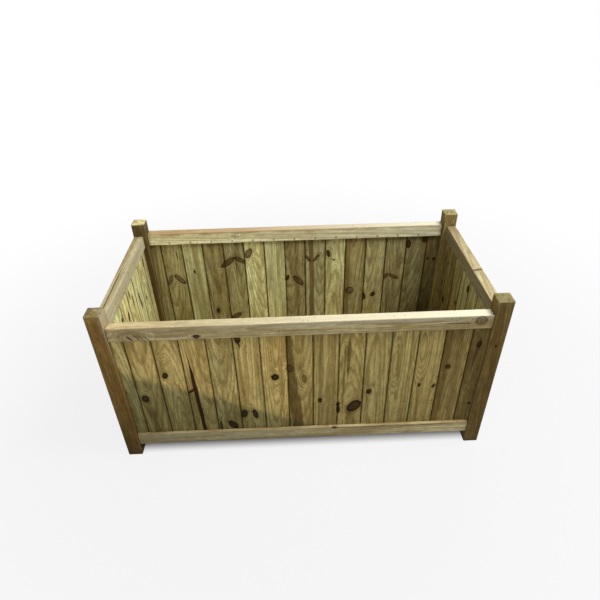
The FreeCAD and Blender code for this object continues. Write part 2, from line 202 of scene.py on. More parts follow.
RIGHT_KNOTS = (
    Knot(-0.205, 0.300, 0.007, 0.010, 0, 0.9),
    Knot(-0.026, 0.449, 0.008, 0.014, 10, 0.95),
    Knot(-0.040, 0.180, 0.009, 0.015, -20, 0.85),
    Knot(0.060, 0.330, 0.006, 0.009, 0, 0.9),
    Knot(0.185, 0.255, 0.010, 0.013, 0, 0.9),
    Knot(0.190, 0.420, 0.005, 0.006, 0, 0.9),
)
LEFT_KNOTS = (
    Knot(-0.200, 0.370, 0.004, 0.008, 20, 0.9),
    Knot(-0.109, 0.433, 0.005, 0.010, 0, 1.0),
    Knot(-0.075, 0.250, 0.009, 0.012, 0, 0.85),
    Knot(-0.047, 0.399, 0.006, 0.018, -10, 1.0),
    Knot(0.003, 0.456, 0.004, 0.016, 8, 0.95),
    Knot(0.025, 0.416, 0.004, 0.020, -6, 0.95),
    Knot(0.092, 0.384, 0.005, 0.022, 6, 0.95),
    Knot(0.100, 0.346, 0.005, 0.015, 0, 0.95),
    Knot(0.085, 0.180, 0.008, 0.011, 0, 0.9),
    Knot(0.165, 0.330, 0.005, 0.009, 0, 0.85),
    Knot(0.215, 0.455, 0.009, 0.016, -10, 0.45),
)
WALL_KNOTS = {"front": FRONT_KNOTS, "right": RIGHT_KNOTS, "back": BACK_KNOTS, "left": LEFT_KNOTS}
RIGHT_STREAKS = (
    Streak(-0.150, 0.505, -0.152, 0.085, 0.0034, 0.55),
    Streak(-0.070, 0.400, -0.072, 0.060, 0.0026, 0.60),
    Streak(0.010, 0.505, 0.012, 0.085, 0.0100, 0.28),
    Streak(0.048, 0.530, 0.050, 0.085, 0.0030, 0.60),
    Streak(0.118, 0.505, 0.116, 0.085, 0.0036, 0.60),
    Streak(0.150, 0.505, 0.152, 0.085, 0.0110, 0.35),
    Streak(0.226, 0.520, 0.224, 0.085, 0.0032, 0.60),
)
WALL_STREAKS = {"front": FRONT_STREAKS, "right": RIGHT_STREAKS, "back": BACK_STREAKS, "left": ()}

# The tone of each board: the long walls' boards from left to right as they are seen from the front, the right
# wall's from front to back and the left wall's from back to front. Besides the boards' own tones these carry
# painted light and shade: the back wall darkens towards its right end, where the right wall's shadow falls,
# the right wall darkens towards the back corner, the left wall is lighter where light falls on it, and the
# walls seen from inside are greener than the front, a tint painted for the shade inside the box.
FRONT_TONES = (
    (1.16, 0.3, 0.0, 0.3), (1.16, 0.0, 0.1, 0.3), (1.22, 0.1, 0.0, 0.3), (1.22, 0.0, 0.1, 0.3),
    (1.12, 0.2, 0.0, 0.2), (1.26, 0.1, 0.0, 0.3), (1.34, 0.0, 0.0, 0.5), (1.06, 0.0, 0.1, 0.3),
    (0.98, 0.1, 0.1, 0.3), (1.06, 0.1, 0.1, 0.3), (0.93, 0.2, 0.0, 0.3), (0.93, 0.2, 0.0, 0.5),
    (0.88, 0.0, 0.1, 0.3), (0.70, 0.0, 0.2, -0.1), (0.50, 0.0, 0.25, 0.2),
)
BACK_TONES_WITH_SHADE = (
    (0.72, 0.9, 0.1), (0.78, 1.0, 0.0), (0.98, 1.2, 0.0), (0.68, 0.7, 0.2), (0.68, 0.8, 0.1),
    (1.34, 1.5, 0.0), (1.08, 1.2, 0.0), (0.60, 0.7, 0.1), (0.74, 1.0, 0.1), (1.02, 1.0, 0.0),
    (0.62, 0.6, 0.1), (0.76, 0.8, 0.1), (0.50, 0.8, 0.1), (0.40, 0.9, 0.1), (0.30, 0.6, 0.2),
)
RIGHT_TONES_WITH_SHADE = (
    (1.10, 1.0, 0.05), (1.14, 1.3, 0.0), (1.08, 1.2, 0.0), (1.00, 1.0, 0.05), (0.84, 0.8, 0.1),
    (0.62, 0.6, 0.15), (0.54, 0.5, 0.2),
)
LEFT_TONES_WITH_LIGHT = (
    (0.98, 1.0, 0.05), (1.10, 1.2, 0.0), (1.18, 1.3, 0.0), (1.12, 1.1, 0.0), (1.20, 1.3, 0.0),
    (1.24, 1.4, 0.0), (1.16, 1.3, 0.0),
)
WALL_TONES_WITH_LIGHT_AND_SHADE = {"front": FRONT_TONES, "right": RIGHT_TONES_WITH_SHADE, "back": BACK_TONES_WITH_SHADE[::-1], "left": LEFT_TONES_WITH_LIGHT}

# Where the tree's heart may lie from the middle of a stick's face, and how much it leans.
BOARD_HEART_ACROSS = (-0.028, 0.028)
BOARD_HEART_DEPTH = (0.012, 0.075)
HEAVY_HEART_ACROSS = (-0.035, 0.035)
HEAVY_HEART_DEPTH = (-0.045, 0.05)
BOARD_LEAN = 0.11
HEAVY_LEAN = 0.04
GRAIN_SPREAD = 40

# Colours as they show in plain light: red, green and blue on a scale of 0 to 255.
BOARD_PALE = (222, 199, 128)
BOARD_DARK = (134, 108, 53)
RAIL_PALE = (232, 216, 162)
RAIL_DARK = (150, 124, 72)
POST_PALE = (140, 115, 64)
POST_DARK = (82, 61, 27)
END_GRAIN = (160, 150, 106)
END_DIRT = (70, 64, 40)
FLOOR_PALE = (184, 168, 112)
FLOOR_DARK = (140, 114, 64)
HEARTWOOD = (128, 92, 42)
BAND_BROWN = (96, 74, 34)
BAND_AMBER = (150, 112, 64)
# Pale for bleaching, and also the colour of a painted sheen and painted light.
BLEACH_AND_PAINTED_LIGHT = (186, 182, 158)
KNOT_MIDDLE = (58, 35, 14)
KNOT_BROWN = (104, 70, 34)
KNOT_RIM = (22, 13, 5)
KNOT_HALO = (108, 80, 38)
SPLIT_BROWN = (62, 40, 18)
STAIN_GREEN = (74, 112, 62)
JOINT_DIRT = (60, 45, 4)
WORN_EDGE = (228, 214, 168)
# A painted shadow's tint, multiplied into the wood low on the front wall and at the posts' feet.
PAINTED_SHADOW_TINT = (192, 202, 206)
SPECK = (44, 32, 16)
IRON_STAIN = (52, 44, 34)
STEEL_BRIGHT = (176, 174, 168)
STEEL_DULL = (96, 92, 86)
BRAD_BRIGHT = (84, 76, 66)
BRAD_DULL = (48, 40, 32)

# How the copper of the treatment shifts the wood's red, green and blue.
COPPER_GAINS = (1.00, 1.36, 1.95, 1)

# How the tree grew, in metres and in shares of a year's growth: its yearly rings, how far they wander, when
# the dark late wood sets in, and the brown wood about its heart.
RING_WIDTH = 0.0064
RING_WANDER, RING_WANDER_SIZE, RING_WANDER_STRETCH = 0.012, 0.075, 6
RING_RAGGED_SHARE, RING_RAGGED_SIZE, RING_RAGGED_STRETCH = 0.5, 0.007, 30
SUMMER_SHARE, SUMMER_SPREAD_SHARE = 0.15, 0.4
LATE_FULL_SHARE = 0.92
YEAR_END_SHARES = (0.94, 1.0)
HEART_RADII = (0.016, 0.034)

# Marks that run with the grain: their size in metres, how many times longer than wide they are, how fine and
# how rough the noise is that makes them, and the levels of it at which a mark begins and is full.
Marks = namedtuple("Marks", "size stretch detail roughness start full")
BANDS = Marks(0.022, 20, 3.0, 0.6, 0.42, 0.60)
STRANDS = Marks(0.0048, 50, 3.0, 0.6, 0.46, 0.72)
FIBRES = Marks(0.0008, 65, 2.0, 0.6, 0.30, 0.70)
FLECKS = Marks(0.0024, 20, 1.0, 0.6, 0.66, 0.74)
CLOUDS = Marks(0.09, 3, 3.0, 0.5, 0.34, 0.66)
MOTTLE = Marks(0.014, 2, 4.0, 0.65, 0.25, 0.75)

# Pin-head spots: how far apart they may lie, which of them show, and where they crowd.
SPECK_SPACING = 0.0105
SPECK_RADIUS_SHARES = (0.12, 0.22)
SPECK_CHOICE_LEVELS = (0.52, 0.58)
SPECK_CROWD_SIZE = 0.11
SPECK_CROWD_LEVELS = (0.40, 0.54)

# Knots, with reaches in shares of a knot's half size. A knot has a core if it is darker than the first of the
# solid darks.
KNOT_RAGGED, KNOT_RAGGED_SIZE = 0.011, 0.009
KNOT_SIDE_SHARES = (0.86, 1.1)
KNOT_SOLID_DARKS = (0.35, 0.8)
KNOT_RING_WIDTH = 0.0075
KNOT_RING_GAIN, KNOT_RING_MOST_SHARE = 1.5, 0.7
KNOT_RIM_GAIN = 1.6
KNOT_RIM_INNER_SHARES = (0.8, 0.94)
KNOT_RIM_OUTER_SHARES = (0.98, 1.1)
KNOT_DARK_EDGE_SHARES = (0.45, 0.9)
KNOT_HALO_SHARES = (0.9, 2.0)
KNOT_BULGE, KNOT_BULGE_SHARES = -2.0, (0.4, 2.8)
KNOT_BEND, KNOT_BEND_SHARES = -0.8, (0.6, 3.0)
KNOT_MOTTLE_SIZE, KNOT_MOTTLE_LEVELS = 0.004, (0.4, 0.7)

# Streaks, with reaches in shares of a streak's length or half width. The narrow ones are splits, and the wide
# ones are bands.
SPLIT_HALF_WIDTH, BAND_HALF_WIDTH = 0.007, 0.009
SPLIT_WANDER_SHARE, SPLIT_WANDER_SIZE, SPLIT_STRETCH = 1.2, 0.012, 6
SPLIT_TIP_SHARES = (-0.02, 0.28)
SPLIT_TAIL_SHARES = (0.5, 1.15)
STREAK_SIDE_SHARES = (0.7, 1.2)
STREAK_START_SHARES = (-0.03, 0.03)
STREAK_END_SHARES = (0.97, 1.03)

# How strongly the grain, the treatment and each mark show.
LATE_SHARE = 0.60
BAND_SHARE = 0.55
STRAND_SHARE = 0.5
FIBRE_SHARE = 0.38
FLECK_SHARE = 0.3
HEARTWOOD_LEAST_SHARE, HEARTWOOD_BROWN_SHARE = 0.12, 0.6
BROWN_SHARE = 0.55
GREEN_SHARE = 0.66
CLOUD_LEAST_SHARE = 0.6
MOTTLE_SHADES = (0.82, 1.16)
HALO_SHARE = 0.45
BAND_LEAST_SHARE = 0.86
SPECK_SHARE = 0.8
WEAR_SIZE, WEAR_LEVELS, WEAR_LEAST_SHARE = 0.016, (0.25, 0.6), 0.6
IRON_SHARE = 0.8
IRON_STAIN_RADII = (0.0010, 0.0042)
IRON_RUN_SHARE = 0.4
END_DIRT_LEVELS, END_DIRT_SHARE = (0.46, 0.66), 0.8
SAWN_LEVEL, SAWN_SHARE = 0.1, 0.7

# How rough the wood is, what late wood, fibres and knots add to that, and how far they stand up or sink in.
WOOD_ROUGHNESS = 0.66
LATE_ROUGHNESS, FIBRE_ROUGHNESS, KNOT_ROUGHNESS = -0.1, 0.12, -0.12
RELIEF_DEPTH, RELIEF_STRENGTH = 0.0006, 0.45
FIBRE_RELIEF, LATE_RELIEF, STRAND_RELIEF = 0.35, 0.3, -0.2
RIM_RELIEF, SPLIT_RELIEF = -0.8, -1.2

# Plated steel
STEEL_SPOT_SIZE, STEEL_SPOT_LEVELS = 0.0011, (0.35, 0.65)
STEEL_ROUGHNESSES = (0.32, 0.6)
BRAD_METAL_SHARE, SCREW_METAL_SHARE = 0.5, 0.85

# Painted shadow: a darker, cooler shade painted low on the front wall from its left foot, to this height at
# the left and none by the right end, and a thin band of painted shade at the feet of the posts.
PAINTED_SHADOW_HEIGHT = 0.385
PAINTED_SHADOW_REACH_SHARE = 0.72
PAINTED_SHADOW_SOFTNESS = 0.016
PAINTED_SHADOW_WANDER = 0.03
PAINTED_SHADOW_WANDER_SIZE = 0.05
FOOT_PAINTED_SHADOW_HEIGHT = 0.014
UNSHADED = -1


def colour(rgb):
    """A shader colour from one on the 0 to 255 scale."""
    shares = Color([byte / FULL_BYTE for byte in rgb])
    return (*shares.from_srgb_to_scene_linear(), 1)


# Shader building


def add(tree, kind, inputs=(), **settings):
    """A node with its settings made and its inputs set or wired, by place or by name."""
    made = tree.nodes.new(kind)
    for name, choice in settings.items():
        setattr(made, name, choice)
    pairs = inputs.items() if isinstance(inputs, dict) else enumerate(inputs)
    for key, given in pairs:
        if isinstance(given, bpy.types.NodeSocket):
            tree.links.new(given, made.inputs[key])
        else:
            made.inputs[key].default_value = given
    return made


def sum_of(tree, operation, *inputs):
    """One step of arithmetic."""
    return add(tree, "ShaderNodeMath", inputs, operation=operation).outputs[0]


def joined_by(tree, operation, values):
    """Several values taken together, two at a time, by one kind of arithmetic."""
    result = values[0]
    for value in values[1:]:
        result = sum_of(tree, operation, result, value)
    return result


def times(tree, *values):
    """The product of several values."""
    return joined_by(tree, "MULTIPLY", values)


def total(tree, values):
    """The sum of several values."""
    return joined_by(tree, "ADD", values)


def greatest(tree, values):
    """The greatest of several values."""
    return joined_by(tree, "MAXIMUM", values)


def between(tree, value, low, high):
    """A value kept from going below low or above high."""
    return sum_of(tree, "MINIMUM", sum_of(tree, "MAXIMUM", value, low), high)


def share_of(tree, value, whole):
    """A value as a share of a whole that may be nothing."""
    return sum_of(tree, "DIVIDE", value, sum_of(tree, "MAXIMUM", whole, SMALLEST))


def vector_step(tree, operation, *inputs):
    """One step of arithmetic on vectors."""
    made = add(tree, "ShaderNodeVectorMath", inputs, operation=operation)
    return made.outputs["Value"] if operation == "LENGTH" else made.outputs["Vector"]


def vector_of(tree, *values):
    """Two or three values as a vector."""
    return add(tree, "ShaderNodeCombineXYZ", values).outputs[0]


def parts(tree, vector):
    """The three numbers of a vector."""
    return add(tree, "ShaderNodeSeparateXYZ", (vector,)).outputs


def rise(tree, value, start, end, low=0.0, high=1.0):
    """A smooth step from low at start to high at end."""
    made = add(tree, "ShaderNodeMapRange", (value, start, end, low, high), interpolation_type="SMOOTHSTEP")
    return made.outputs[0]


def fall(tree, value, start, end):
    """A smooth step from 1 at start to 0 at end."""
    return rise(tree, value, start, end, 1.0, 0.0)


def blotch(tree, vector, size, detail=2.0, roughness=0.5):
    """Cloudy noise from 0 to 1 with spots of about a size."""
    inputs = {"Vector": vector, "Scale": 1 / size, "Detail": detail, "Roughness": roughness}
    return add(tree, "ShaderNodeTexNoise", inputs).outputs["Fac"]


def sway(tree, cloud, width):
    """Noise made to swing evenly about nothing, over a width in all."""
    return times(tree, sum_of(tree, "SUBTRACT", cloud, HALF_WAY), width)


def drawn_out(tree, grain, stretch):
    """A place in the tree with the grain drawn out, so that what is put there runs long."""
    return vector_step(tree, "MULTIPLY", grain, (1, 1, 1 / stretch))


def grain_noise(tree, grain, marks):
    """The noise that makes marks along the grain."""
    return blotch(tree, drawn_out(tree, grain, marks.stretch), marks.size, marks.detail, marks.roughness)


def grain_marks(tree, grain, marks):
    """Marks along the grain, from 0 to 1."""
    return rise(tree, grain_noise(tree, grain, marks), marks.start, marks.full)


def mix(tree, share, first, second, blend="MIX"):
    """Two colours mixed by a share."""
    made = add(tree, "ShaderNodeMix", {0: share, 6: first, 7: second}, data_type="RGBA", blend_type=blend,
               clamp_factor=True)
    return made.outputs[2]


def shaded(tree, wood, shade):
    """A colour made lighter or darker."""
    return mix(tree, 1.0, wood, vector_of(tree, shade, shade, shade), "MULTIPLY")


def read(tree, name, output="Vector"):
    """A value that the mesh carries."""
    return add(tree, "ShaderNodeAttribute", attribute_name=name, attribute_type="GEOMETRY").outputs[output]


FLOAT, VECTOR = "NodeSocketFloat", "NodeSocketVector"


def new_group(name, inputs, outputs):
    """An empty node group with its sockets; returns the tree, what comes in and what goes out."""
    tree = bpy.data.node_groups.new(name, "ShaderNodeTree")
    for label, kind in inputs:
        tree.interface.new_socket(label, in_out="INPUT", socket_type=kind)
    for label in outputs:
        tree.interface.new_socket(label, in_out="OUTPUT", socket_type=FLOAT)
    return tree, tree.nodes.new("NodeGroupInput").outputs, tree.nodes.new("NodeGroupOutput").inputs


def give(tree, out, **results):
    """Wire a group's results to its outputs."""
    for name, result in results.items():
        tree.links.new(result, out[name])
    return tree


def fill(tree, group, **inputs):
    """A node group placed in a material with its inputs wired by name."""
    made = add(tree, "ShaderNodeGroup", node_tree=group)
    for name, given in inputs.items():
        tree.links.new(given, made.inputs[name])
    return made.outputs


def growth_rings():
    """Yearly rings about the heart of the tree: pale early wood that darkens to a sharp late edge."""
    inputs = (("Grain", VECTOR), ("Bulge", FLOAT))
    tree, given, out = new_group("growth rings", inputs, ("Late", "Heartwood"))
    grain = given["Grain"]
    swell = blotch(tree, drawn_out(tree, grain, RING_WANDER_STRETCH), RING_WANDER_SIZE)
    wander = sway(tree, swell, RING_WANDER)
    from_heart = vector_step(tree, "LENGTH", vector_step(tree, "MULTIPLY", grain, (1, 1, 0)))
    grown = total(tree, [from_heart, wander, given["Bulge"]])
    fray = blotch(tree, drawn_out(tree, grain, RING_RAGGED_STRETCH), RING_RAGGED_SIZE)
    ragged = sway(tree, fray, RING_RAGGED_SHARE)
    count = sum_of(tree, "ADD", sum_of(tree, "DIVIDE", grown, RING_WIDTH), ragged)
    season = sum_of(tree, "FRACT", count)
    year = sum_of(tree, "FLOOR", count)
    growth = add(tree, "ShaderNodeTexWhiteNoise", {"W": year}, noise_dimensions="1D").outputs["Value"]
    summer = sum_of(tree, "MULTIPLY_ADD", growth, SUMMER_SPREAD_SHARE, SUMMER_SHARE)
    late = times(tree, rise(tree, season, summer, LATE_FULL_SHARE), fall(tree, season, *YEAR_END_SHARES))
    return give(tree, out, Late=late, Heartwood=fall(tree, grown, *HEART_RADII))


def fibres():
    """Darker bands, strands and fine fibres along the grain, and short flecks of resin."""
    tree, given, out = new_group("fibres", (("Grain", VECTOR),), ("Bands", "Strands", "Fine", "Flecks"))
    grain = given["Grain"]
    bands = grain_marks(tree, grain, BANDS)
    strands = grain_marks(tree, grain, STRANDS)
    fine = grain_noise(tree, grain, FIBRES)
    flecks = grain_marks(tree, grain, FLECKS)
    return give(tree, out, Bands=bands, Strands=strands, Fine=fine, Flecks=flecks)


def weather():
    """Clouds of green from the treatment, small mottling, and scattered spots of pitch and dirt."""
    tree, given, out = new_group("weather", (("Grain", VECTOR),), ("Cloud", "Mottle", "Spots"))
    grain = given["Grain"]
    cells = add(tree, "ShaderNodeTexVoronoi", {"Vector": grain, "Scale": 1 / SPECK_SPACING}).outputs
    chosen = rise(tree, cells["Color"], *SPECK_CHOICE_LEVELS)
    crowd = rise(tree, blotch(tree, grain, SPECK_CROWD_SIZE), *SPECK_CROWD_LEVELS)
    spots = times(tree, fall(tree, cells["Distance"], *SPECK_RADIUS_SHARES), chosen, crowd)
    return give(tree, out, Cloud=grain_marks(tree, grain, CLOUDS), Mottle=grain_noise(tree, grain, MOTTLE),
                Spots=spots)


def knot():
    """A knot on the face: its core, its dark rim, the resin about it and how it bends the grain."""
    inputs = (("Face", VECTOR), ("Place", VECTOR), ("Shape", VECTOR))
    tree, given, out = new_group("knot", inputs, ("Core", "Rim", "Halo", "Bulge", "Bend"))
    across, along, half_width = parts(tree, given["Place"])
    half_height, lean, dark = parts(tree, given["Shape"])
    reach = vector_step(tree, "SUBTRACT", given["Face"], vector_of(tree, across, along))
    turned = add(tree, "ShaderNodeVectorRotate", {"Vector": reach, "Angle": lean}, rotation_type="Z_AXIS")
    side, up, _ = parts(tree, turned.outputs[0])
    wide = share_of(tree, side, half_width)
    even = vector_step(tree, "LENGTH", vector_of(tree, wide, share_of(tree, up, half_height)))
    fray = blotch(tree, given["Face"], KNOT_RAGGED_SIZE, detail=4.0, roughness=0.6)
    ragged = sway(tree, fray, KNOT_RAGGED)
    distance = sum_of(tree, "ADD", even, share_of(tree, ragged, half_height))

    inside = fall(tree, distance, *KNOT_SIDE_SHARES)
    solid = rise(tree, dark, *KNOT_SOLID_DARKS)
    core = times(tree, inside, dark, solid)
    grown = sum_of(tree, "DIVIDE", times(tree, distance, half_height), KNOT_RING_WIDTH)
    faint = sum_of(tree, "MINIMUM", times(tree, dark, KNOT_RING_GAIN), KNOT_RING_MOST_SHARE)
    rings = times(tree, inside, sum_of(tree, "FRACT", grown), faint)
    strong = sum_of(tree, "MINIMUM", times(tree, dark, KNOT_RIM_GAIN), 1.0)
    outline = times(tree, rise(tree, distance, *KNOT_RIM_INNER_SHARES),
                    fall(tree, distance, *KNOT_RIM_OUTER_SHARES), strong)
    dark_edge = times(tree, core, rise(tree, distance, *KNOT_DARK_EDGE_SHARES))
    rim = greatest(tree, [rings, outline, dark_edge])
    halo = times(tree, fall(tree, distance, *KNOT_HALO_SHARES), dark)

    bulge = times(tree, fall(tree, even, *KNOT_BULGE_SHARES), half_width, KNOT_BULGE)
    beside = between(tree, wide, -1.0, 1.0)
    bend = times(tree, beside, fall(tree, even, *KNOT_BEND_SHARES), half_width, KNOT_BEND)
    return give(tree, out, Core=core, Rim=rim, Halo=halo, Bulge=bulge, Bend=bend)


def streak():
    """A split or a drip of resin with pointed ends or, where it is wide, a band of heartwood, or a pale band
    that is bleaching on some sticks and painted sheen and light on others.
    """
    inputs = (("Face", VECTOR), ("Start", VECTOR), ("End", VECTOR))
    tree, given, out = new_group("streak", inputs, ("Split", "Band", "Green", "Pale"))
    across, along, half_width = parts(tree, given["Start"])
    to_across, to_along, dark = parts(tree, given["End"])
    side, up, _ = parts(tree, given["Face"])
    length = sum_of(tree, "SUBTRACT", to_along, along)
    gone = sum_of(tree, "DIVIDE", sum_of(tree, "SUBTRACT", up, along), length)
    middle = sum_of(tree, "MULTIPLY_ADD", gone, sum_of(tree, "SUBTRACT", to_across, across), across)
    long_face = vector_step(tree, "MULTIPLY", given["Face"], (1, 1 / SPLIT_STRETCH, 1))
    fray = blotch(tree, long_face, SPLIT_WANDER_SIZE, detail=4.0, roughness=0.6)
    wander = times(tree, sway(tree, fray, SPLIT_WANDER_SHARE), half_width)
    aside = sum_of(tree, "ABSOLUTE", total(tree, [side, wander, times(tree, middle, -1.0)]))

    banded = rise(tree, half_width, SPLIT_HALF_WIDTH, BAND_HALF_WIDTH)
    pointed = times(tree, rise(tree, gone, *SPLIT_TIP_SHARES), fall(tree, gone, *SPLIT_TAIL_SHARES))
    width = times(tree, half_width, sum_of(tree, "MAXIMUM", pointed, banded))
    mask = times(tree, fall(tree, share_of(tree, aside, width), *STREAK_SIDE_SHARES),
                 rise(tree, gone, *STREAK_START_SHARES), fall(tree, gone, *STREAK_END_SHARES), dark)
    deep = sum_of(tree, "MAXIMUM", mask, 0.0)
    light = sum_of(tree, "MAXIMUM", times(tree, mask, -1.0), 0.0)
    band = times(tree, deep, banded)
    wide = times(tree, light, banded)
    pale = times(tree, wide, fall(tree, gone, 0.0, 1.0))
    return give(tree, out, Split=sum_of(tree, "SUBTRACT", deep, band), Band=band,
                Green=sum_of(tree, "SUBTRACT", light, wide), Pale=pale)


def iron_stain():
    """Dark stain about the heads of a row of brads, drawn out below each."""
    inputs = (("Face", VECTOR), ("Row", VECTOR), ("Level", FLOAT))
    tree, given, out = new_group("iron stain", inputs, ("Stain",))
    side, up, _ = parts(tree, given["Face"])
    first, pitch, last = parts(tree, given["Row"])
    number = share_of(tree, sum_of(tree, "SUBTRACT", up, first), pitch)
    nearest = between(tree, sum_of(tree, "ROUND", number), 0.0, last)
    off = sum_of(tree, "SUBTRACT", up, sum_of(tree, "MULTIPLY_ADD", nearest, pitch, first))
    below = sum_of(tree, "SUBTRACT", side, given["Level"])
    below = sum_of(tree, "MAXIMUM", times(tree, below, IRON_RUN_SHARE), times(tree, below, -1.0))
    distance = vector_step(tree, "LENGTH", vector_of(tree, off, below))
    return give(tree, out, Stain=fall(tree, distance, *IRON_STAIN_RADII))


RING_GROUP = growth_rings()
FIBRE_GROUP = fibres()
WEATHER_GROUP = weather()
KNOT_GROUP = knot()
STREAK_GROUP = streak()
STAIN_GROUP = iron_stain()


def new_material(name):
    """An empty material with its tree and its shader."""
    material = bpy.data.materials.new(name)
    material.use_nodes = True
    return material, material.node_tree, material.node_tree.nodes["Principled BSDF"]


def marks_of(tree, face):
    """The knots and streaks of a stick, each kind joined into one mask."""
    knots = [fill(tree, KNOT_GROUP, Face=face, Place=read(tree, f"knot_{slot}"),
                  Shape=read(tree, f"knot_{slot}_shape"))
             for slot in range(KNOT_SLOTS)]
    streaks = [fill(tree, STREAK_GROUP, Face=face, Start=read(tree, f"streak_{slot}"),
                    End=read(tree, f"streak_{slot}_end"))
               for slot in range(STREAK_SLOTS)]

    def strongest(kind, given):
        return greatest(tree, [each[kind] for each in given])

    marks = {kind: strongest(kind, knots) for kind in ("Core", "Rim", "Halo")}
    marks |= {kind: strongest(kind, streaks) for kind in ("Split", "Band", "Green", "Pale")}
    marks |= {kind: total(tree, [each[kind] for each in knots]) for kind in ("Bulge", "Bend")}
    return marks


# How a kind of stick looks: its early and late wood, its bands, what is on its edges and how much of it, and
# its gloss.
Look = namedtuple("Look", "pale dark band edge edge_share gloss")
BOARD_LOOK = Look(BOARD_PALE, BOARD_DARK, BAND_BROWN, JOINT_DIRT, 0.9, 0.05)
RAIL_LOOK = Look(RAIL_PALE, RAIL_DARK, BAND_AMBER, HEARTWOOD, 0.45, 0.2)
POST_LOOK = Look(POST_PALE, POST_DARK, BAND_BROWN, WORN_EDGE, 0.06, 0.05)
FLOOR_LOOK = Look(FLOOR_PALE, FLOOR_DARK, BAND_BROWN, JOINT_DIRT, 0.3, 0.12)


def grown_wood(tree, look, rings, strands, worn):
    """The clean wood: its rings, fibres and heartwood, its green cast and how light it is."""
    light, green, brown = parts(tree, read(tree, "tone"))
    dark, heartwood = colour(look.dark), colour(HEARTWOOD)
    wood = mix(tree, times(tree, rings["Late"], LATE_SHARE), colour(look.pale), dark)
    wood = mix(tree, times(tree, strands["Bands"], BAND_SHARE), wood, dark)
    wood = mix(tree, times(tree, strands["Strands"], STRAND_SHARE), wood, dark)
    wood = mix(tree, rise(tree, strands["Fine"], FIBRES.start, FIBRES.full, FIBRE_SHARE, 0.0), wood, dark)
    wood = mix(tree, times(tree, strands["Flecks"], FLECK_SHARE), wood, heartwood)
    about_heart = sum_of(tree, "MULTIPLY_ADD", brown, HEARTWOOD_BROWN_SHARE, HEARTWOOD_LEAST_SHARE)
    wood = mix(tree, times(tree, rings["Heartwood"], about_heart), wood, heartwood)
    wood = mix(tree, times(tree, brown, BROWN_SHARE), wood, heartwood)
    cloud = rise(tree, worn["Cloud"], 0.0, 1.0, CLOUD_LEAST_SHARE, 1.0)
    wood = mix(tree, times(tree, green, cloud, GREEN_SHARE), wood, COPPER_GAINS, "MULTIPLY")
    mottle = rise(tree, worn["Mottle"], MOTTLE.start, MOTTLE.full, *MOTTLE_SHADES)
    return shaded(tree, wood, times(tree, light, mottle))


def marked_wood(tree, wood, look, face, marks, strands):
    """Wood with its knots and streaks."""
    wood = mix(tree, times(tree, marks["Halo"], HALO_SHARE), wood, colour(KNOT_HALO))
    wood = mix(tree, marks["Green"], wood, colour(STAIN_GREEN))
    band = times(tree, marks["Band"], rise(tree, strands["Strands"], 0.0, 1.0, BAND_LEAST_SHARE, 1.0))
    wood = mix(tree, band, wood, colour(look.band))
    # Pale bands: bleaching, and a painted sheen and painted light where a stick faces the light.
    wood = mix(tree, marks["Pale"], wood, colour(BLEACH_AND_PAINTED_LIGHT))
    wood = mix(tree, marks["Split"], wood, colour(SPLIT_BROWN))
    patchy = rise(tree, blotch(tree, face, KNOT_MOTTLE_SIZE, detail=3.0), *KNOT_MOTTLE_LEVELS)
    wood = mix(tree, marks["Core"], wood, mix(tree, patchy, colour(KNOT_MIDDLE), colour(KNOT_BROWN)))
    return mix(tree, marks["Rim"], wood, colour(KNOT_RIM))


def weathered_and_shadowed_wood(tree, wood, look, grain, face, worn):
    """Wood with its spots, its worn or dirty edges, the stain about its brads, and its painted shadow."""
    wood = mix(tree, times(tree, worn["Spots"], SPECK_SHARE), wood, colour(SPECK))
    wear = rise(tree, blotch(tree, grain, WEAR_SIZE, detail=3.0), *WEAR_LEVELS, WEAR_LEAST_SHARE, 1.0)
    edge = times(tree, read(tree, "edge", "Fac"), wear, look.edge_share)
    wood = mix(tree, edge, wood, colour(look.edge))
    level = read(tree, "brad_level", "Fac")
    iron = fill(tree, STAIN_GROUP, Face=face, Row=read(tree, "brads"), Level=level)["Stain"]
    wood = mix(tree, times(tree, iron, IRON_SHARE), wood, colour(IRON_STAIN))
    # Painted shadow: the wood darkened and cooled low on the front wall and at the posts' feet.
    shadow_wander = sway(tree, blotch(tree, grain, PAINTED_SHADOW_WANDER_SIZE, detail=3.0), PAINTED_SHADOW_WANDER)
    shadow_depth = sum_of(tree, "ADD", read(tree, "painted_shadow", "Fac"), shadow_wander)
    painted_shadow = rise(tree, shadow_depth, -PAINTED_SHADOW_SOFTNESS, PAINTED_SHADOW_SOFTNESS)
    return mix(tree, painted_shadow, wood, colour(PAINTED_SHADOW_TINT), "MULTIPLY")


def with_sawn_ends(tree, wood, worn):
    """Wood with the end grain of its sawn ends."""
    end = read(tree, "end", "Fac")
    dirt = rise(tree, worn["Mottle"], *END_DIRT_LEVELS, 0.0, END_DIRT_SHARE)
    sawn = shaded(tree, mix(tree, dirt, colour(END_GRAIN), colour(END_DIRT)), end)
    return mix(tree, rise(tree, end, 0.0, SAWN_LEVEL, 0.0, SAWN_SHARE), wood, sawn)


def wood_roughness(tree, rings, strands, marks):
    """Late wood and knots are smoother than the fibres."""
    rough = sum_of(tree, "MULTIPLY_ADD", rings["Late"], LATE_ROUGHNESS, WOOD_ROUGHNESS)
    rough = sum_of(tree, "MULTIPLY_ADD", strands["Fine"], FIBRE_ROUGHNESS, rough)
    return sum_of(tree, "MULTIPLY_ADD", marks["Core"], KNOT_ROUGHNESS, rough)


def wood_relief(tree, rings, strands, marks):
    """Fibres and late wood stand up a little; strands, knot rims and splits sink in."""
    reliefs = (
        (strands["Fine"], FIBRE_RELIEF),
        (rings["Late"], LATE_RELIEF),
        (strands["Strands"], STRAND_RELIEF),
        (marks["Rim"], RIM_RELIEF),
        (marks["Split"], SPLIT_RELIEF),
    )
    height = total(tree, [times(tree, mask, relief) for mask, relief in reliefs])
    inputs = {"Height": height, "Strength": RELIEF_STRENGTH, "Distance": RELIEF_DEPTH}
    return add(tree, "ShaderNodeBump", inputs).outputs[0]


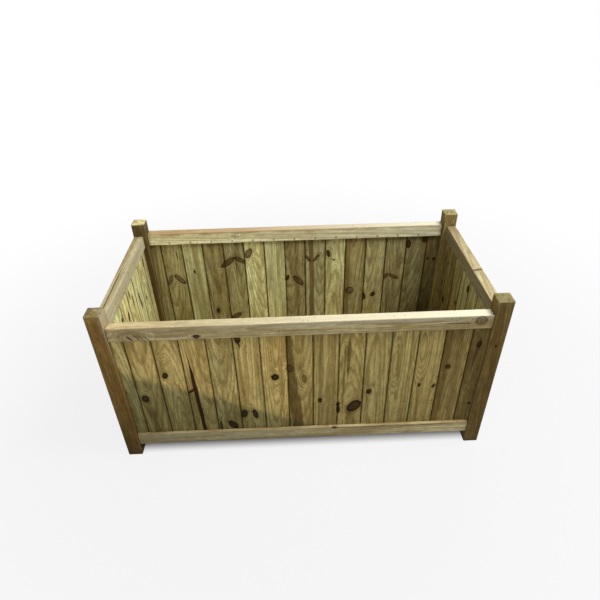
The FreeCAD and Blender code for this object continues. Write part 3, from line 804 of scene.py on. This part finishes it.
def treated_pine(name, look):
    """Planed pine, pressure treated, grown and marked as each stick's figure says."""
    material, tree, shader = new_material(name)
    grain, face = read(tree, "grain"), read(tree, "face")
    marks = marks_of(tree, face)
    rings = fill(tree, RING_GROUP, Grain=grain, Bulge=marks["Bulge"])
    aside = vector_of(tree, marks["Bend"], marks["Bend"])
    strands = fill(tree, FIBRE_GROUP, Grain=vector_step(tree, "ADD", grain, aside))
    worn = fill(tree, WEATHER_GROUP, Grain=grain)
    wood = grown_wood(tree, look, rings, strands, worn)
    wood = marked_wood(tree, wood, look, face, marks, strands)
    wood = weathered_and_shadowed_wood(tree, wood, look, grain, face, worn)
    wood = with_sawn_ends(tree, wood, worn)
    tree.links.new(wood, shader.inputs["Base Color"])
    tree.links.new(wood_roughness(tree, rings, strands, marks), shader.inputs["Roughness"])
    tree.links.new(wood_relief(tree, rings, strands, marks), shader.inputs["Normal"])
    shader.inputs["Specular IOR Level"].default_value = look.gloss
    return material


def plated_steel(name, bright, dull, metal_share):
    """Zinc-plated steel, dulled and spotted."""
    material, tree, shader = new_material(name)
    place = add(tree, "ShaderNodeTexCoord").outputs["Object"]
    spots = rise(tree, blotch(tree, place, STEEL_SPOT_SIZE, detail=4.0), *STEEL_SPOT_LEVELS)
    tree.links.new(mix(tree, spots, colour(bright), colour(dull)), shader.inputs["Base Color"])
    tree.links.new(rise(tree, spots, 0.0, 1.0, *STEEL_ROUGHNESSES), shader.inputs["Roughness"])
    shader.inputs["Metallic"].default_value = metal_share
    return material


BOARD_TIMBER = treated_pine("board pine", BOARD_LOOK)
RAIL_TIMBER = treated_pine("rail pine", RAIL_LOOK)
POST_TIMBER = treated_pine("post pine", POST_LOOK)
FLOOR_TIMBER = treated_pine("floor pine", FLOOR_LOOK)
BRAD_STEEL = plated_steel("stained brads", BRAD_BRIGHT, BRAD_DULL, BRAD_METAL_SHARE)
SCREW_STEEL = plated_steel("dull zinc plate", STEEL_BRIGHT, STEEL_DULL, SCREW_METAL_SHARE)


# Sticks of timber


def packed_copy(node):
    """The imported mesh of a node, welded, with its flat faces made whole again."""
    bm = bmesh.new()
    bm.from_mesh(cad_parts[node].data)
    bmesh.ops.remove_doubles(bm, verts=bm.verts, dist=WELD)
    bmesh.ops.dissolve_limit(bm, angle_limit=FLAT_ANGLE, verts=bm.verts, edges=bm.edges)
    return bm


def ease(bm, arris):
    """Take the sharpness off the long arrises."""
    sharp = [edge for edge in bm.edges
             if edge.calc_length() > SHORTEST_ARRIS and edge.calc_face_angle() > LEAST_ARRIS_ANGLE]
    bmesh.ops.bevel(bm, geom=sharp, offset=arris, segments=ARRIS_STEPS, profile=ARRIS_PROFILE, affect="EDGES",
                    clamp_overlap=True)
    bmesh.ops.dissolve_degenerate(bm, dist=WELD, edges=bm.edges)


def cut(bm, axis, place):
    """A ring of edges round the piece where a plane meets it."""
    point, normal = Vector(), Vector()
    point[axis] = place
    normal[axis] = 1
    bmesh.ops.bisect_plane(bm, geom=bm.verts[:] + bm.edges[:] + bm.faces[:], dist=WELD, plane_co=point,
                           plane_no=normal)


def slice_up(bm, lie, low, high):
    """Rings along the grain, and lines just inside the outer face's long edges."""
    count = round((high[lie.run] - low[lie.run]) / SLICE)
    shown = [vert.co[lie.across] for vert in bm.verts if depth_in(vert.co, lie, low, high) < SURFACE]
    for number in range(1, count):
        cut(bm, lie.run, low[lie.run] + (high[lie.run] - low[lie.run]) * number / count)
    cut(bm, lie.across, min(shown) + EDGE_BAND)
    cut(bm, lie.across, (min(shown) + max(shown)) / 2)
    cut(bm, lie.across, max(shown) - EDGE_BAND)


def islands(bm):
    """The separate solids in a mesh, as lists of faces, in a settled order."""
    seen = set()
    for first in bm.faces:
        if first in seen:
            continue
        seen.add(first)
        found, waiting = [], [first]
        while waiting:
            face = waiting.pop()
            found.append(face)
            for edge in face.edges:
                for other in edge.link_faces:
                    if other not in seen:
                        seen.add(other)
                        waiting.append(other)
        yield found


def reach_of(verts):
    """Lowest and highest corner of some vertices."""
    low = Vector(min(vert.co[axis] for vert in verts) for axis in (X, Y, Z))
    high = Vector(max(vert.co[axis] for vert in verts) for axis in (X, Y, Z))
    return low, high


def depth_in(point, lie, low, high):
    """How far a point lies behind the outer face."""
    if lie.outward > 0:
        return high[lie.through] - point[lie.through]
    return point[lie.through] - low[lie.through]


def round_place(point, normal, lie, low, high):
    """Distance round a stick from its outer face's lower edge: up, over, down the inner face and under."""
    tall = high[lie.across] - low[lie.across]
    thick = high[lie.through] - low[lie.through]
    up = point[lie.across] - low[lie.across]
    deep = depth_in(point, lie, low, high)
    if abs(normal[lie.across]) > abs(normal[lie.through]):
        return tall + deep if normal[lie.across] > 0 else 2 * tall + 2 * thick - deep
    if normal[lie.through] * lie.outward > 0:
        return up
    return 2 * tall + thick - up


Fastener = namedtuple("Fastener", "head tip half_width")


def fasteners(node):
    """Where each brad or screw of a node lies: its head, which looks in or up, its tip and half its width."""
    bm = packed_copy(node)
    found = []
    for faces in islands(bm):
        low, high = reach_of([vert for face in faces for vert in face.verts])
        size = high - low
        axis = max((X, Y, Z), key=lambda each: size[each])
        head = (low + high) / 2
        tip = head.copy()
        upward = axis == Z
        head[axis] = high[axis] if upward else min(low[axis], high[axis], key=abs)
        tip[axis] = low[axis] if upward else max(low[axis], high[axis], key=abs)
        found.append(Fastener(head, tip, min(size) / 2))
    bm.free()
    return found


# In a wall's row the first and last brads hold the ripped boards, and lie nearer to their neighbours.
BRADS = fasteners("steel_brads")
FEWEST_IN_LONG_ROW = 5
NO_ROW = ((0, 0, 0), -1)


def brad_row(lie, low, high, wrapped):
    """The even row of brads through a stick: the first one's place, the pitch, how many more, the level."""
    def inside(point):
        return all(low[axis] <= point[axis] <= high[axis] for axis in (X, Y, Z))

    heads = [brad.head for brad in BRADS if inside((brad.head + brad.tip) / 2)]
    if len(heads) < 2:
        return NO_ROW
    places = sorted(head[lie.run] - low[lie.run] for head in heads)
    even = places[1:-1] if len(places) >= FEWEST_IN_LONG_ROW else places
    pitch = (even[-1] - even[0]) / (len(even) - 1)
    inward = Vector()
    inward[lie.through] = -lie.outward
    level = round_place(heads[0], inward, lie, low, high) if wrapped else heads[0][lie.across]
    return (even[0], pitch, len(even) - 1), level


def write_figure(layers, vert, figure, lie, low, high):
    """A stick's tone and marks at one point of it."""
    tone = figure.tone
    gone = (vert.co[lie.run] - low[lie.run]) / (high[lie.run] - low[lie.run])
    vert[layers["tone"]] = (tone.light * (1 + tone.fade * (gone - HALF_WAY)), tone.green, tone.brown)
    for slot, each in enumerate(figure.knots[:KNOT_SLOTS]):
        vert[layers[f"knot_{slot}"]] = (each.across, each.along - low[lie.run], each.half_width)
        vert[layers[f"knot_{slot}_shape"]] = (each.half_height, -math.radians(each.lean), each.dark)
    for slot, each in enumerate(figure.streaks[:STREAK_SLOTS]):
        vert[layers[f"streak_{slot}"]] = (each.across, each.along - low[lie.run], each.half_width)
        vert[layers[f"streak_{slot}_end"]] = (each.to_across, each.to_along - low[lie.run], each.dark)


def new_layers(bm):
    """The values that the wood reads off the mesh."""
    names = ["grain", "tone", "brads"]
    names += [f"knot_{slot}{tail}" for slot in range(KNOT_SLOTS) for tail in ("", "_shape")]
    names += [f"streak_{slot}{tail}" for slot in range(STREAK_SLOTS) for tail in ("", "_end")]
    layers = {name: bm.verts.layers.float_vector.new(name) for name in names}
    layers["edge"] = bm.verts.layers.float.new("edge")
    # How far a point lies inside the painted shadow.
    layers["painted_shadow"] = bm.verts.layers.float.new("painted_shadow")
    layers["brad_level"] = bm.verts.layers.float.new("brad_level")
    layers["end"] = bm.faces.layers.float.new("end")
    layers["face"] = bm.loops.layers.float_vector.new("face")
    return layers


def finish_stick(layers, faces, lie, figure, wrapped, offset):
    """One solid's figure and waviness, and where each point of it lies on the stick and in the tree."""
    verts = sorted({vert for face in faces for vert in face.verts}, key=lambda vert: vert.index)
    low, high = reach_of(verts)
    middle = (low + high) / 2
    row, level = brad_row(lie, low, high, wrapped)
    for face in faces:
        normal = face.normal
        slanted = max(abs(part) for part in normal) < SLANT_LIMIT
        face[layers["end"]] = figure.tone.end_light if abs(normal[lie.run]) > END_LIMIT else 0.0
        for loop in face.loops:
            point = loop.vert.co
            if slanted:
                depth = depth_in(point, lie, low, high)
                on_lip = not wrapped and depth < GROOVE_DEPTH
                loop.vert[layers["edge"]] = GROOVE_LIP_SHARE if on_lip else 1.0
            across = round_place(point, normal, lie, low, high) if wrapped else point[lie.across]
            loop[layers["face"]] = (across, point[lie.run] - low[lie.run], 0)
    for vert in verts:
        point = vert.co
        along = point[lie.run] - middle[lie.run]
        side = point[lie.across] - middle[lie.across] - figure.heart[0] - figure.lean[0] * along
        deep = depth_in(point, lie, low, high) + figure.heart[1] - figure.lean[1] * along
        vert[layers["grain"]] = (side, deep, along + offset)
        vert[layers["brads"]] = row
        vert[layers["brad_level"]] = level
        write_figure(layers, vert, figure, lie, low, high)
    for vert in verts:
        wave = noise.noise_vector((vert.co + Vector((offset, offset, offset))) / WAVE_LENGTH)
        moved = vert.co + wave * WAVE_HEIGHT
        vert.co = Vector(min(max(moved[axis], LOW_CORNER[axis]), HIGH_CORNER[axis]) for axis in (X, Y, Z))


def wall_painted_shadow(point):
    """How far a point of the front wall lies below the edge of the painted shadow."""
    gone = (point.x - LOW_CORNER.x) / (PAINTED_SHADOW_REACH_SHARE * (HIGH_CORNER.x - LOW_CORNER.x))
    return PAINTED_SHADOW_HEIGHT * (1 - gone) - point.z


def foot_painted_shadow(point):
    """How far a point of a post lies below the edge of the painted shade at its foot."""
    return FOOT_PAINTED_SHADOW_HEIGHT - point.z


def piece_from(bm, name, material, node):
    """A finished mesh as a piece that stands for its node."""
    mesh = bpy.data.meshes.new(name)
    bm.normal_update()
    bm.to_mesh(mesh)
    bm.free()
    mesh.polygons.foreach_set("use_smooth", [True] * len(mesh.polygons))
    mesh.set_sharp_from_angle(angle=SHARP_ANGLE)
    mesh.materials.append(material)
    piece = bpy.data.objects.new(name, mesh)
    bpy.context.scene.collection.objects.link(piece)
    piece.modifiers.new("true flats", "WEIGHTED_NORMAL").keep_sharp = True
    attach(piece, BODY)
    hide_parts(node)
    return piece


def timber(node, lie, figures, material, arris, wrapped=False, painted_shadow=None):
    """A node's sticks, eased, sliced and figured; figures gives each solid's own."""
    low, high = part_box(node)
    bm = packed_copy(node)
    ease(bm, arris)
    slice_up(bm, lie, low, high)
    bm.verts.index_update()
    bm.normal_update()
    layers = new_layers(bm)
    for faces, figure in zip(list(islands(bm)), figures):
        finish_stick(layers, faces, lie, figure, wrapped, draw.uniform(0, GRAIN_SPREAD))
    for vert in bm.verts:
        # How far each point lies inside the painted shadow, if the stick has one.
        vert[layers["painted_shadow"]] = painted_shadow(vert.co) if painted_shadow else UNSHADED
    return piece_from(bm, f"dressed_{node}", material, node)


# Walls, posts, rails and floor

GRAIN_SEED = 4
draw = random.Random(GRAIN_SEED)
BOARD_ARRIS = 0.0005
RAIL_ARRIS = 0.0007
POST_ARRIS = 0.0009
FLOOR_ARRIS = 0.0012


def heart_for(across, depth):
    """A chance place for the tree's heart behind the face."""
    return draw.uniform(*across), draw.uniform(*depth)


def lean_by_chance(most):
    """A chance lean of the heart along the stick, aside and through it."""
    return draw.uniform(-HEAVY_LEAN, HEAVY_LEAN), draw.uniform(-most, most)


def wall_board(wall, number):
    """One upright board, with the knots and streaks that fall on it."""
    node = f"{wall}_board_{number:02d}"
    lie = BOARD_LIES[wall]
    low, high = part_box(node)

    def falls_here(place, half_width=0):
        return low[lie.across] - half_width <= place < high[lie.across] + half_width

    knots = [mark for mark in WALL_KNOTS[wall] if falls_here(mark.across, mark.half_width)]
    streaks = [mark for mark in WALL_STREAKS[wall] if falls_here((mark.across + mark.to_across) / 2)]
    tone = Tone(*WALL_TONES_WITH_LIGHT_AND_SHADE[wall][number - 1])
    heart = heart_for(BOARD_HEART_ACROSS, BOARD_HEART_DEPTH)
    figure = Figure(heart, lean_by_chance(BOARD_LEAN), tone, knots, streaks)
    # The front wall's boards take the painted shadow low on the left.
    painted_shadow = wall_painted_shadow if wall == "front" else None
    timber(node, lie, [figure], BOARD_TIMBER, BOARD_ARRIS, painted_shadow=painted_shadow)


def heavy_figure(tone, knots=(), streaks=()):
    """The figure of a post, rail, slat or bearer, sawn from anywhere in the log."""
    heart = heart_for(HEAVY_HEART_ACROSS, HEAVY_HEART_DEPTH)
    return Figure(heart, lean_by_chance(HEAVY_LEAN), tone, knots, streaks)


# Tones, knots and streaks of the rails and posts. A mark's first place is the distance round the stick from
# its outer face's lower or left edge.
RAIL_FIGURES = {
    "front_top_rail": (Tone(1.0, 0.25, 0.28), (
        Knot(0.011, -0.300, 0.0065, 0.0095, 0, 0.95),
        Knot(0.010, -0.488, 0.022, 0.028, 0, 0.06),
        Knot(0.060, -0.343, 0.009, 0.022, 0, 0.10),
        Knot(0.031, 0.517, 0.015, 0.016, 0, 0.50)), (
        # Painted sheen: the rail's top is paled towards its right end, where light glances off it.
        Streak(0.0635, 0.620, 0.0635, -0.750, 0.0280, -1.0),
        Streak(0.020, -0.500, 0.004, -0.480, 0.0056, 0.80),
        Streak(0.026, -0.480, 0.002, -0.458, 0.0042, 0.65),
        Streak(0.025, -0.467, 0.001, -0.446, 0.0040, 0.60),
        Streak(0.022, -0.453, 0.000, -0.432, 0.0038, 0.55),
        Streak(0.022, 0.498, 0.024, 0.400, 0.0036, 0.62))),
    "back_top_rail": (Tone(1.30, 0.8, 0.0, -0.65), (
        Knot(0.100, -0.230, 0.008, 0.011, 0, 0.25),), (
        Streak(0.064, 0.900, 0.062, -0.900, 0.0250, 0.95),
        Streak(0.064, 0.600, 0.064, -0.500, 0.0210, -1.0),
        Streak(0.1035, 1.200, 0.1035, -0.700, 0.0300, -0.45))),
    "left_top_rail": (Tone(0.74, 0.6, 0.0), (Knot(0.020, 0.060, 0.008, 0.010, 0, 0.7),), (
        Streak(0.053, 0.500, 0.053, -0.500, 0.0100, 0.20),
        Streak(0.059, 0.060, 0.060, -0.340, 0.0028, 0.70),
        Streak(0.1035, 0.700, 0.1035, -3.000, 0.0300, -0.36))),
    "right_top_rail": (Tone(0.48, 0.1, 0.10), (Knot(0.064, -0.055, 0.005, 0.017, 80, 0.7),), (
        Streak(0.1035, -0.700, 0.1035, 3.000, 0.0300, -0.16),)),
    "front_bottom_rail": (Tone(0.80, 0.3, 0.10, 0.67), (Knot(0.044, 0.104, 0.006, 0.008, 0, 1.0),), (
        Streak(0.040, 0.540, 0.042, -0.020, 0.0030, 0.55),
        Streak(0.004, 0.200, 0.003, -0.500, 0.0030, 0.35))),
    "back_bottom_rail": (Tone(0.9, 0.3, 0.1), (Knot(0.020, -0.150, 0.009, 0.012, 0, 0.85),), ()),
    "left_bottom_rail": (Tone(0.9, 0.3, 0.1), (Knot(0.026, 0.120, 0.007, 0.010, 0, 0.85),), ()),
    "right_bottom_rail": (Tone(0.88, 0.3, 0.15), (Knot(0.022, -0.090, 0.008, 0.010, 0, 0.85),), ()),
}
POST_FIGURES = {
    "front_left": (Tone(1.09, 0.1, 0.30, 0.95, 0.56), (Knot(0.150, 0.320, 0.007, 0.010, 0, 0.8),), (
        # Painted light: the post's right side, which faces the light, is paled from the top down.
        Streak(0.0705, 0.640, 0.0705, 0.350, 0.0300, -0.5),)),
    "front_right": (Tone(0.97, 0.5, 0.12, 0.3, 0.48), (
        Knot(0.024, 0.430, 0.004, 0.006, 0, 0.8),
        Knot(0.160, 0.250, 0.008, 0.012, 0, 0.8)), ()),
    "back_right": (Tone(1.58, 0.9, 0.0, -0.35, 0.74), (Knot(0.070, 0.300, 0.008, 0.011, 0, 0.8),), ()),
    "back_left": (Tone(0.66, 0.4, 0.15, 0.0, 2.45), (Knot(0.120, 0.330, 0.008, 0.012, 0, 0.8),), ()),
}
SLAT_COUNT = 11
BEARER_COUNT = 2
SLAT_LIGHT_SHARES = (0.88, 1.08)
FLOOR_GREEN_SHARES = (0.7, 1.0)
FLOOR_BROWN_SHARE = 0.1
BEARER_LIGHT = 1.0


def wall_rail(wall, level):
    """A top or bottom rail."""
    node = f"{wall}_{level}_rail"
    figure = heavy_figure(*RAIL_FIGURES[node])
    timber(node, RAIL_LIES[wall], [figure], RAIL_TIMBER, RAIL_ARRIS, wrapped=True)


def corner_post(corner):
    """A corner post."""
    figure = heavy_figure(*POST_FIGURES[corner])
    # Each post takes a thin band of painted shade at its foot.
    timber(f"post_{corner}", POST_LIES[corner], [figure], POST_TIMBER, POST_ARRIS,
           wrapped=True, painted_shadow=foot_painted_shadow)


def floor_tone(light):
    """The tone of a slat or a bearer, as green as chance has it."""
    return Tone(light, draw.uniform(*FLOOR_GREEN_SHARES), FLOOR_BROWN_SHARE)


def floor():
    """The floor's slats and the bearers that carry them."""
    slats = [heavy_figure(floor_tone(draw.uniform(*SLAT_LIGHT_SHARES))) for _ in range(SLAT_COUNT)]
    timber("floor_slats", SLAT_LIE, slats, FLOOR_TIMBER, FLOOR_ARRIS)
    bearers = [heavy_figure(floor_tone(BEARER_LIGHT)) for _ in range(BEARER_COUNT)]
    timber("floor_bearers", BEARER_LIE, bearers, FLOOR_TIMBER, FLOOR_ARRIS)


for wall in WALLS:
    for number in range(1, len(WALL_TONES_WITH_LIGHT_AND_SHADE[wall]) + 1):
        wall_board(wall, number)
    for level in ("top", "bottom"):
        wall_rail(wall, level)
for corner in POST_LIES:
    corner_post(corner)
floor()

# Brads and screws, in metres from the head and in shares of half the width

BRAD_CORNER_SHARE = 0.7
BRAD_CORNERS = (
    (1, BRAD_CORNER_SHARE), (BRAD_CORNER_SHARE, 1),
    (-BRAD_CORNER_SHARE, 1), (-1, BRAD_CORNER_SHARE),
    (-1, -BRAD_CORNER_SHARE), (-BRAD_CORNER_SHARE, -1),
    (BRAD_CORNER_SHARE, -1), (1, -BRAD_CORNER_SHARE),
)
BRAD_SECTIONS = ((0.0, 0.75, 0.75), (0.0002, 1.0, 1.0), (0.0011, 1.0, 1.0), (0.0017, 0.7, 0.8))
BRAD_POINT_LENGTH = 0.003
BRAD_POINT_SHARES = (0.7, 0.1)
SCREW_SIDES = 24
SCREW_QUARTER = SCREW_SIDES // 4
SCREW_HEAD_SHARE = 2.0
SCREW_HEAD_HEIGHT = 0.0026
SCREW_HEAD_EDGE = 0.0002
SCREW_SHANK = 0.008
SCREW_POINT = 0.004
SCREW_PITCH = 0.0022
SCREW_STEPS = 5
SCREW_CORE_SHARE = 0.68
CROSS_ARM_SHARE, CROSS_THROAT_SHARE = 1.15, 0.45
CROSS_DEPTH, CROSS_TAPER_SHARE = 0.0018, 0.75


def solid_through(bm, rings):
    """A closed solid through rings of points, with its first and last ring filled."""
    loops = [[bm.verts.new(point) for point in ring] for ring in rings]
    for near, far in zip(loops, loops[1:]):
        for number, point in enumerate(near):
            before = number - 1
            bm.faces.new((near[before], point, far[number], far[before]))
    bm.faces.new(loops[0])
    bm.faces.new(reversed(loops[-1]))


def set_at(fastener):
    """How a fastener drawn down from its head is turned and moved to its place."""
    turn = (fastener.tip - fastener.head).to_track_quat("Z", "Y").to_matrix().to_4x4()
    return Matrix.Translation(fastener.head) @ turn


def brad_rings(fastener):
    """A brad: a small dished head, a square shank with its corners off and a chisel point."""
    length = (fastener.tip - fastener.head).length
    _, *shank_shares = BRAD_SECTIONS[-1]
    sections = BRAD_SECTIONS + ((length - BRAD_POINT_LENGTH, *shank_shares), (length, *BRAD_POINT_SHARES))
    for down, wide_share, deep_share in sections:
        wide = fastener.half_width * wide_share
        deep = fastener.half_width * deep_share
        yield [Vector((x * wide, y * deep, down)) for x, y in BRAD_CORNERS]


def screw_ring(down, radius_at):
    """One ring of a screw, with its radius given for each share of a turn."""
    ring = []
    for number in range(SCREW_SIDES):
        share = number / SCREW_SIDES
        angle = math.tau * share
        radius = radius_at(share)
        ring.append(Vector((radius * math.cos(angle), radius * math.sin(angle), down)))
    return ring


def screw_rings(fastener):
    """A screw: a cross recess in a countersunk head, a plain shank, a thread and a point."""
    length = (fastener.tip - fastener.head).length
    shank = fastener.half_width / SCREW_HEAD_SHARE

    def cross(taper_share):
        def radius(share):
            on_arm = round(share * SCREW_SIDES) % SCREW_QUARTER in (0, 1, SCREW_QUARTER - 1)
            return shank * (CROSS_ARM_SHARE if on_arm else CROSS_THROAT_SHARE) * taper_share
        return radius

    def plain(radius):
        return lambda share: radius

    def threaded(down):
        def radius(share):
            phase = (down / SCREW_PITCH + share) % 1
            # The ridge takes up the middle half of each turn.
            ridge_share = max(0, 1 - abs(4 * phase - 2))
            point_share = min(1, (length - down) / SCREW_POINT)
            return shank * point_share * (SCREW_CORE_SHARE + (1 - SCREW_CORE_SHARE) * ridge_share)
        return radius

    yield screw_ring(CROSS_DEPTH, cross(CROSS_TAPER_SHARE))
    yield screw_ring(0, cross(1))
    yield screw_ring(0, plain(fastener.half_width - SCREW_HEAD_EDGE))
    yield screw_ring(SCREW_HEAD_EDGE, plain(fastener.half_width - SCREW_HEAD_EDGE / 2))
    yield screw_ring(SCREW_HEAD_HEIGHT, plain(shank))
    yield screw_ring(SCREW_SHANK, plain(shank))
    step = SCREW_PITCH / SCREW_STEPS
    for number in range(1, int((length - SCREW_SHANK) / step)):
        yield screw_ring(SCREW_SHANK + number * step, threaded(SCREW_SHANK + number * step))


def dressed_fasteners(node, placed, rings_of, material):
    """All of a node's brads or screws as one piece."""
    bm = bmesh.new()
    for fastener in placed:
        place = set_at(fastener)
        solid_through(bm, [[place @ point for point in ring] for ring in rings_of(fastener)])
    bmesh.ops.recalc_face_normals(bm, faces=bm.faces)
    piece_from(bm, f"dressed_{node}", material, node)


dressed_fasteners("steel_brads", BRADS, brad_rings, BRAD_STEEL)
dressed_fasteners("bearer_screws", fasteners("bearer_screws"), screw_rings, SCREW_STEEL)


# Studio

# The camera's place in metres, its turns in degrees and its lens in millimetres.
CAMERA_PLACE = (-0.0255, -1.4102, 1.4163)
CAMERA_TURN = (54.49, 1.106, -2.015)
CAMERA_LENS = 30.04
FLOOR_HALF = 40
FLOOR_PAINT = (0.32, 0.32, 0.32, 1)
SHADE_EDGE = 0.05
SHADE_SHARE = 0.9
WHITE = (1, 1, 1, 1)
WORLD_STRENGTH = 0.22
AIM = Vector((0, 0, 0.3))
GLOW_RADII, GLOW_LEAST_SHARE = (0.6, 2.2), 0.85
Lamp = namedtuple("Lamp", "place size power")
LAMPS = {
    "overhead": Lamp((1.1, -0.45, 2.5), 0.9, 74),
    "front_fill": Lamp((-1.3, -2.4, 2.0), 1.4, 20),
    "back_sheen": Lamp((1.4, 2.0, 2.5), 0.8, 34),
}


def studio_camera():
    """The camera, standing in front and looking down into the planter."""
    camera = bpy.data.cameras.new("camera")
    camera.lens = CAMERA_LENS
    holder = bpy.data.objects.new("camera", camera)
    holder.location = CAMERA_PLACE
    holder.rotation_euler = [math.radians(angle) for angle in CAMERA_TURN]
    bpy.context.scene.collection.objects.link(holder)
    bpy.context.scene.camera = holder


def soft_light(name, lamp):
    """A square soft box aimed at the planter."""
    light = bpy.data.lights.new(name, "AREA")
    light.size = lamp.size
    light.energy = lamp.power
    holder = bpy.data.objects.new(name, light)
    holder.location = lamp.place
    holder.rotation_euler = (AIM - Vector(lamp.place)).to_track_quat("-Z", "Y").to_euler()
    bpy.context.scene.collection.objects.link(holder)


def seen_share(tree):
    """1 for what the camera sees, straight or in a reflection, and 0 for light on its way."""
    path = add(tree, "ShaderNodeLightPath").outputs
    seen = sum_of(tree, "MAXIMUM", path["Is Camera Ray"], path["Is Glossy Ray"])
    return sum_of(tree, "MAXIMUM", seen, path["Is Transmission Ray"])


def open_share(tree, place):
    """1 for the open ground, and next to nothing in the shade under the planter."""
    along, aside, _ = parts(tree, vector_step(tree, "ABSOLUTE", place))
    under = times(tree, fall(tree, along, HIGH_CORNER.x - SHADE_EDGE, HIGH_CORNER.x),
                  fall(tree, aside, HIGH_CORNER.y - SHADE_EDGE, HIGH_CORNER.y))
    return sum_of(tree, "MULTIPLY_ADD", under, -SHADE_SHARE, 1.0)


def studio_floor():
    """A pale floor that runs into white and keeps the planter's shadow."""
    mesh = bpy.data.meshes.new("studio_floor")
    corners = [(-FLOOR_HALF, -FLOOR_HALF, 0), (FLOOR_HALF, -FLOOR_HALF, 0), (FLOOR_HALF, FLOOR_HALF, 0),
               (-FLOOR_HALF, FLOOR_HALF, 0)]
    mesh.from_pydata(corners, [], [(0, 1, 2, 3)])
    material = bpy.data.materials.new("studio floor")
    material.use_nodes = True
    tree = material.node_tree
    tree.nodes.remove(tree.nodes["Principled BSDF"])
    paint = add(tree, "ShaderNodeBsdfDiffuse", {"Color": FLOOR_PAINT}).outputs[0]
    glow = add(tree, "ShaderNodeEmission", {"Color": WHITE, "Strength": 1.0}).outputs[0]
    place = add(tree, "ShaderNodeNewGeometry").outputs["Position"]
    far = rise(tree, vector_step(tree, "LENGTH", place), *GLOW_RADII, GLOW_LEAST_SHARE, 1.0)
    share = times(tree, far, open_share(tree, place), seen_share(tree))
    both = add(tree, "ShaderNodeMixShader", (share, paint, glow)).outputs[0]
    tree.links.new(both, tree.nodes["Material Output"].inputs["Surface"])
    mesh.materials.append(material)
    ground = bpy.data.objects.new("studio_floor", mesh)
    bpy.context.scene.collection.objects.link(ground)


def studio_world():
    """Even light from all round, seen as white."""
    world = bpy.data.worlds.new("studio")
    bpy.context.scene.world = world
    world.use_nodes = True
    tree = world.node_tree
    strength = rise(tree, seen_share(tree), 0.0, 1.0, WORLD_STRENGTH, 1.0)
    tree.links.new(strength, tree.nodes["Background"].inputs["Strength"])
    tree.nodes["Background"].inputs["Color"].default_value = WHITE


studio_camera()
studio_floor()
studio_world()
for name, lamp in LAMPS.items():
    soft_light(name, lamp)
bpy.context.scene.view_settings.view_transform = "Standard"
